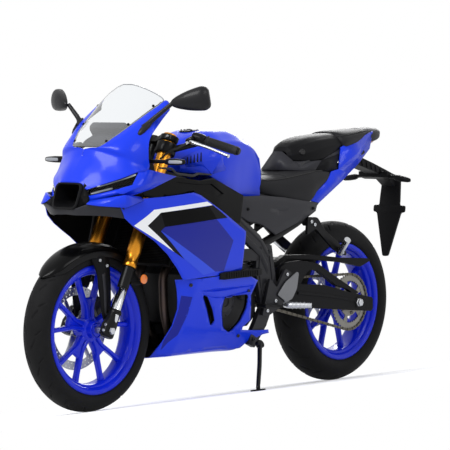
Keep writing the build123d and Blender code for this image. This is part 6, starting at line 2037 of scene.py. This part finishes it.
piece("exhaust_header_pipes", headers, heat_steel, ["exhaust_headers"])
SILENCER = (
    (424, -205, 277, 48, 48), (395, -205, 290, 69, 79), (340, -207, 318, 95, 118),
    (60, -212, 425, 95, 118), (40, -212, 432, 84, 104), (30, -212, 436, 60, 82))
ring = rounded([(-0.5, -0.5), (0.5, -0.5), (0.5, 0.5), (-0.5, 0.5)], 0.3, 5)


def silencer_part(stations):
    """Rounded boxes of a place, a width and a height, tilted back and joined in order."""
    return loft([
        [(x + b * h * 0.36, y + a * w, z + b * h * 0.93) for a, b in ring] for x, y, z, w, h in stations])


piece("silencer_body", [silencer_part(SILENCER)], satin_black, ["silencer"], sharp=30)
band = silencer_part(((330, -207, 322, 95.9, 119.6), (322, -207, 325, 95.9, 119.6)))
outlet = spun([(12, -3), (17, -3), (18, 3), (13, 3)], (33, -212, 434), (-0.94, 0, 0.34), 28, ring=True)
piece("silencer_trim", [band, outlet], bright_steel)

# ---------------------------------------------------------------- footrests and levers
# Forged and polished aluminium pegs on hangers, with a leaf-shaped heel guard. A black foot lever with its
# rod stands on each side: the shift lever on the left and the brake pedal on the right.
heel_grey = metal("alloy_forged_anodised_grey", "7A7B7E", "6E6F72", 0.4, 0.2)
HANGER = ((560, 440), (604, 300), (560, 300), (488, 330), (430, 452), (470, 470), (520, 400))
HEEL = ((408, 456), (398, 450), (409, 392), (437, 354), (471, 344), (524, 374), (477, 420))
for side, name in SIDES:
    grey = [plate(rounded(HANGER, 10), 144.5, 156)]
    heel = [plate(rounded(HEEL, 10), 158, 163)]
    bright = [tube([(500, 178, 338), (500, 200, 336), (455, 271, 336)], (12, 12.5, 10), 10, 18)]
    bright += [
        spun(
            [(12.6, -1.2), (14, -1.2), (14, 1.2), (12.6, 1.2)], (494 - k * 8, 210 + k * 12.6, 336),
            (-0.53, 0.85, 0), 24, ring=True) for k in range(4)]
    bright += [screw((x, 156, z), (0, 1, 0), 7) for x, z in ((462, 448), (578, 318), (530, 352))]
    dark = [
        tube([(640, 164, 342), (560, 164, 336), (500, 164, 330)], (5, 4.2, 5), 10, 12),
        tube([(640, 160, 340), (638, 182, 340)], (7.5, 6), 4, 12)]
    dark.append(tube([(638, 178, 340), (637, 204, 340)], (8, 7.6), 4, 16))
    sets = (
        ("footrest_hanger_", grey, frame_grey, "black_metal", ()),
        ("footrest_peg_", bright, forged, "silver", ["footrest_" + name]),
        ("foot_lever_", dark, cast_black, "black_metal", ()),
        ("heel_guard_", heel, heel_grey, "black_metal", ()))
    for label, patches, material, which, gone in sets:
        piece(label + name, sided(patches, side), material, gone, bevel=1.2)
V_BRACKET = (
    (308, 658), (314, 588), (262, 612), (150, 528), (107, 510), (78, 500), (66, 504), (80, 530),
    (200, 602), (250, 656))
pillion = [
    plate(rounded(V_BRACKET, 12), 122, 134),
    plate([(328, 650), (300, 624), (264, 620), (264, 650)], 101, 123)]
pegs = [tube([(112, 132, 512), (140, 194, 567)], (13.4, 13), 4, 18)]
pegs += [screw((x, 134, z), (0, 1, 0), 7) for x, z in ((290, 640), (270, 628), (96, 514))]
piece("pillion_brackets", two_sided(pillion), cast_black, bevel=2)
piece("pillion_pegs", two_sided(pegs), forged, ["pillion_footrests"], bevel=1)

# ---------------------------------------------------------------- chain guard and stand
# A thin moulded guard follows the chain's upper run. The stand is a bent steel tube with a welded foot,
# painted black.
GUARD = (
    (470, 470), (404, 500), (260, 492), (60, 472), (-60, 450), (-120, 470), (-112, 480), (60, 490),
    (240, 510), (410, 516), (480, 486))
piece(
    "chain_guard_moulding", [plate(GUARD, 79, 105)], satin_black, ["chain_guard"],
    bevel=2, sharp=30)
LEAN = math.radians(9.0)
GROUND_UP = np.array([0.0, -math.sin(LEAN), math.cos(LEAN)])
STAND_TOP = np.array([632.0, 166.0, 196.0])
STAND_FOOT = np.array([798.0, 300.0, 300.0 * math.tan(LEAN)])
leg_end = STAND_FOOT + GROUND_UP * 14
down, folded = leg_end - STAND_TOP, np.array([-0.983, 0.085, 0.16])
spread = unit(down) - unit(folded)
hinge = np.array([0.0, -spread[2], spread[1]]) / np.linalg.norm(spread[1:])
bow = STAND_TOP + down * 0.5 + [0, 3, 3]
stand = [tube([STAND_TOP, bow, leg_end, STAND_FOOT + GROUND_UP * 5], (9, 8.6, 8, 7.5), 26, 16, 8)]
stand.append(spun(
    [(POLE, -9), (14.5, -9), (16.5, -7), (16.5, 7), (14.5, 9), (POLE, 9)], STAND_TOP, tuple(hinge), 28))
shoe = rounded([(-26, -20), (26, -20), (32, 0), (20, 20), (-22, 20)], 9)
along, beside = np.array([1.0, 0, 0]), np.cross(GROUND_UP, [1.0, 0, 0])
stand.append(loft([
    STAND_FOOT + GROUND_UP * low + (shoe[:, :1] * along + shoe[:, 1:] * beside) * size
    for low, size in ((0, 0.94), (1.2, 1.0), (4.6, 1.0), (5.8, 0.94))]))
piece("side_stand_leg", stand, cast_black, ["side_stand"], body="side_stand", bevel=0.8)

# ---------------------------------------------------------------- air box
# A black moulded box fills the space between the engine and the tank, with ribs along its sides.
BOX_ROWS = (
    (850, 70, 676, 728), (836, 86, 668, 738), (720, 92, 640, 734), (612, 90, 600, 712),
    (598, 74, 612, 700))
shell_rows = []
for x, y, low, high in BOX_ROWS:
    shell_rows.append([
        (x, a * y, (low + high) / 2 + b * (high - low))
        for a, b in rounded([(-1, -0.5), (1, -0.5), (1, 0.5), (-1, 0.5)], 0.22, 3)])
box = [loft(shell_rows)]
for x in (640, 680, 720, 760, 800):
    low, high = station_heights(BOX_ROWS, x)
    box += [rib(x, 2, low + 14, high - 14, side * 90 - 5, side * 90 + 5) for side in (-1, 1)]
piece("air_box_moulding", box, satin_black, bevel=1.2)
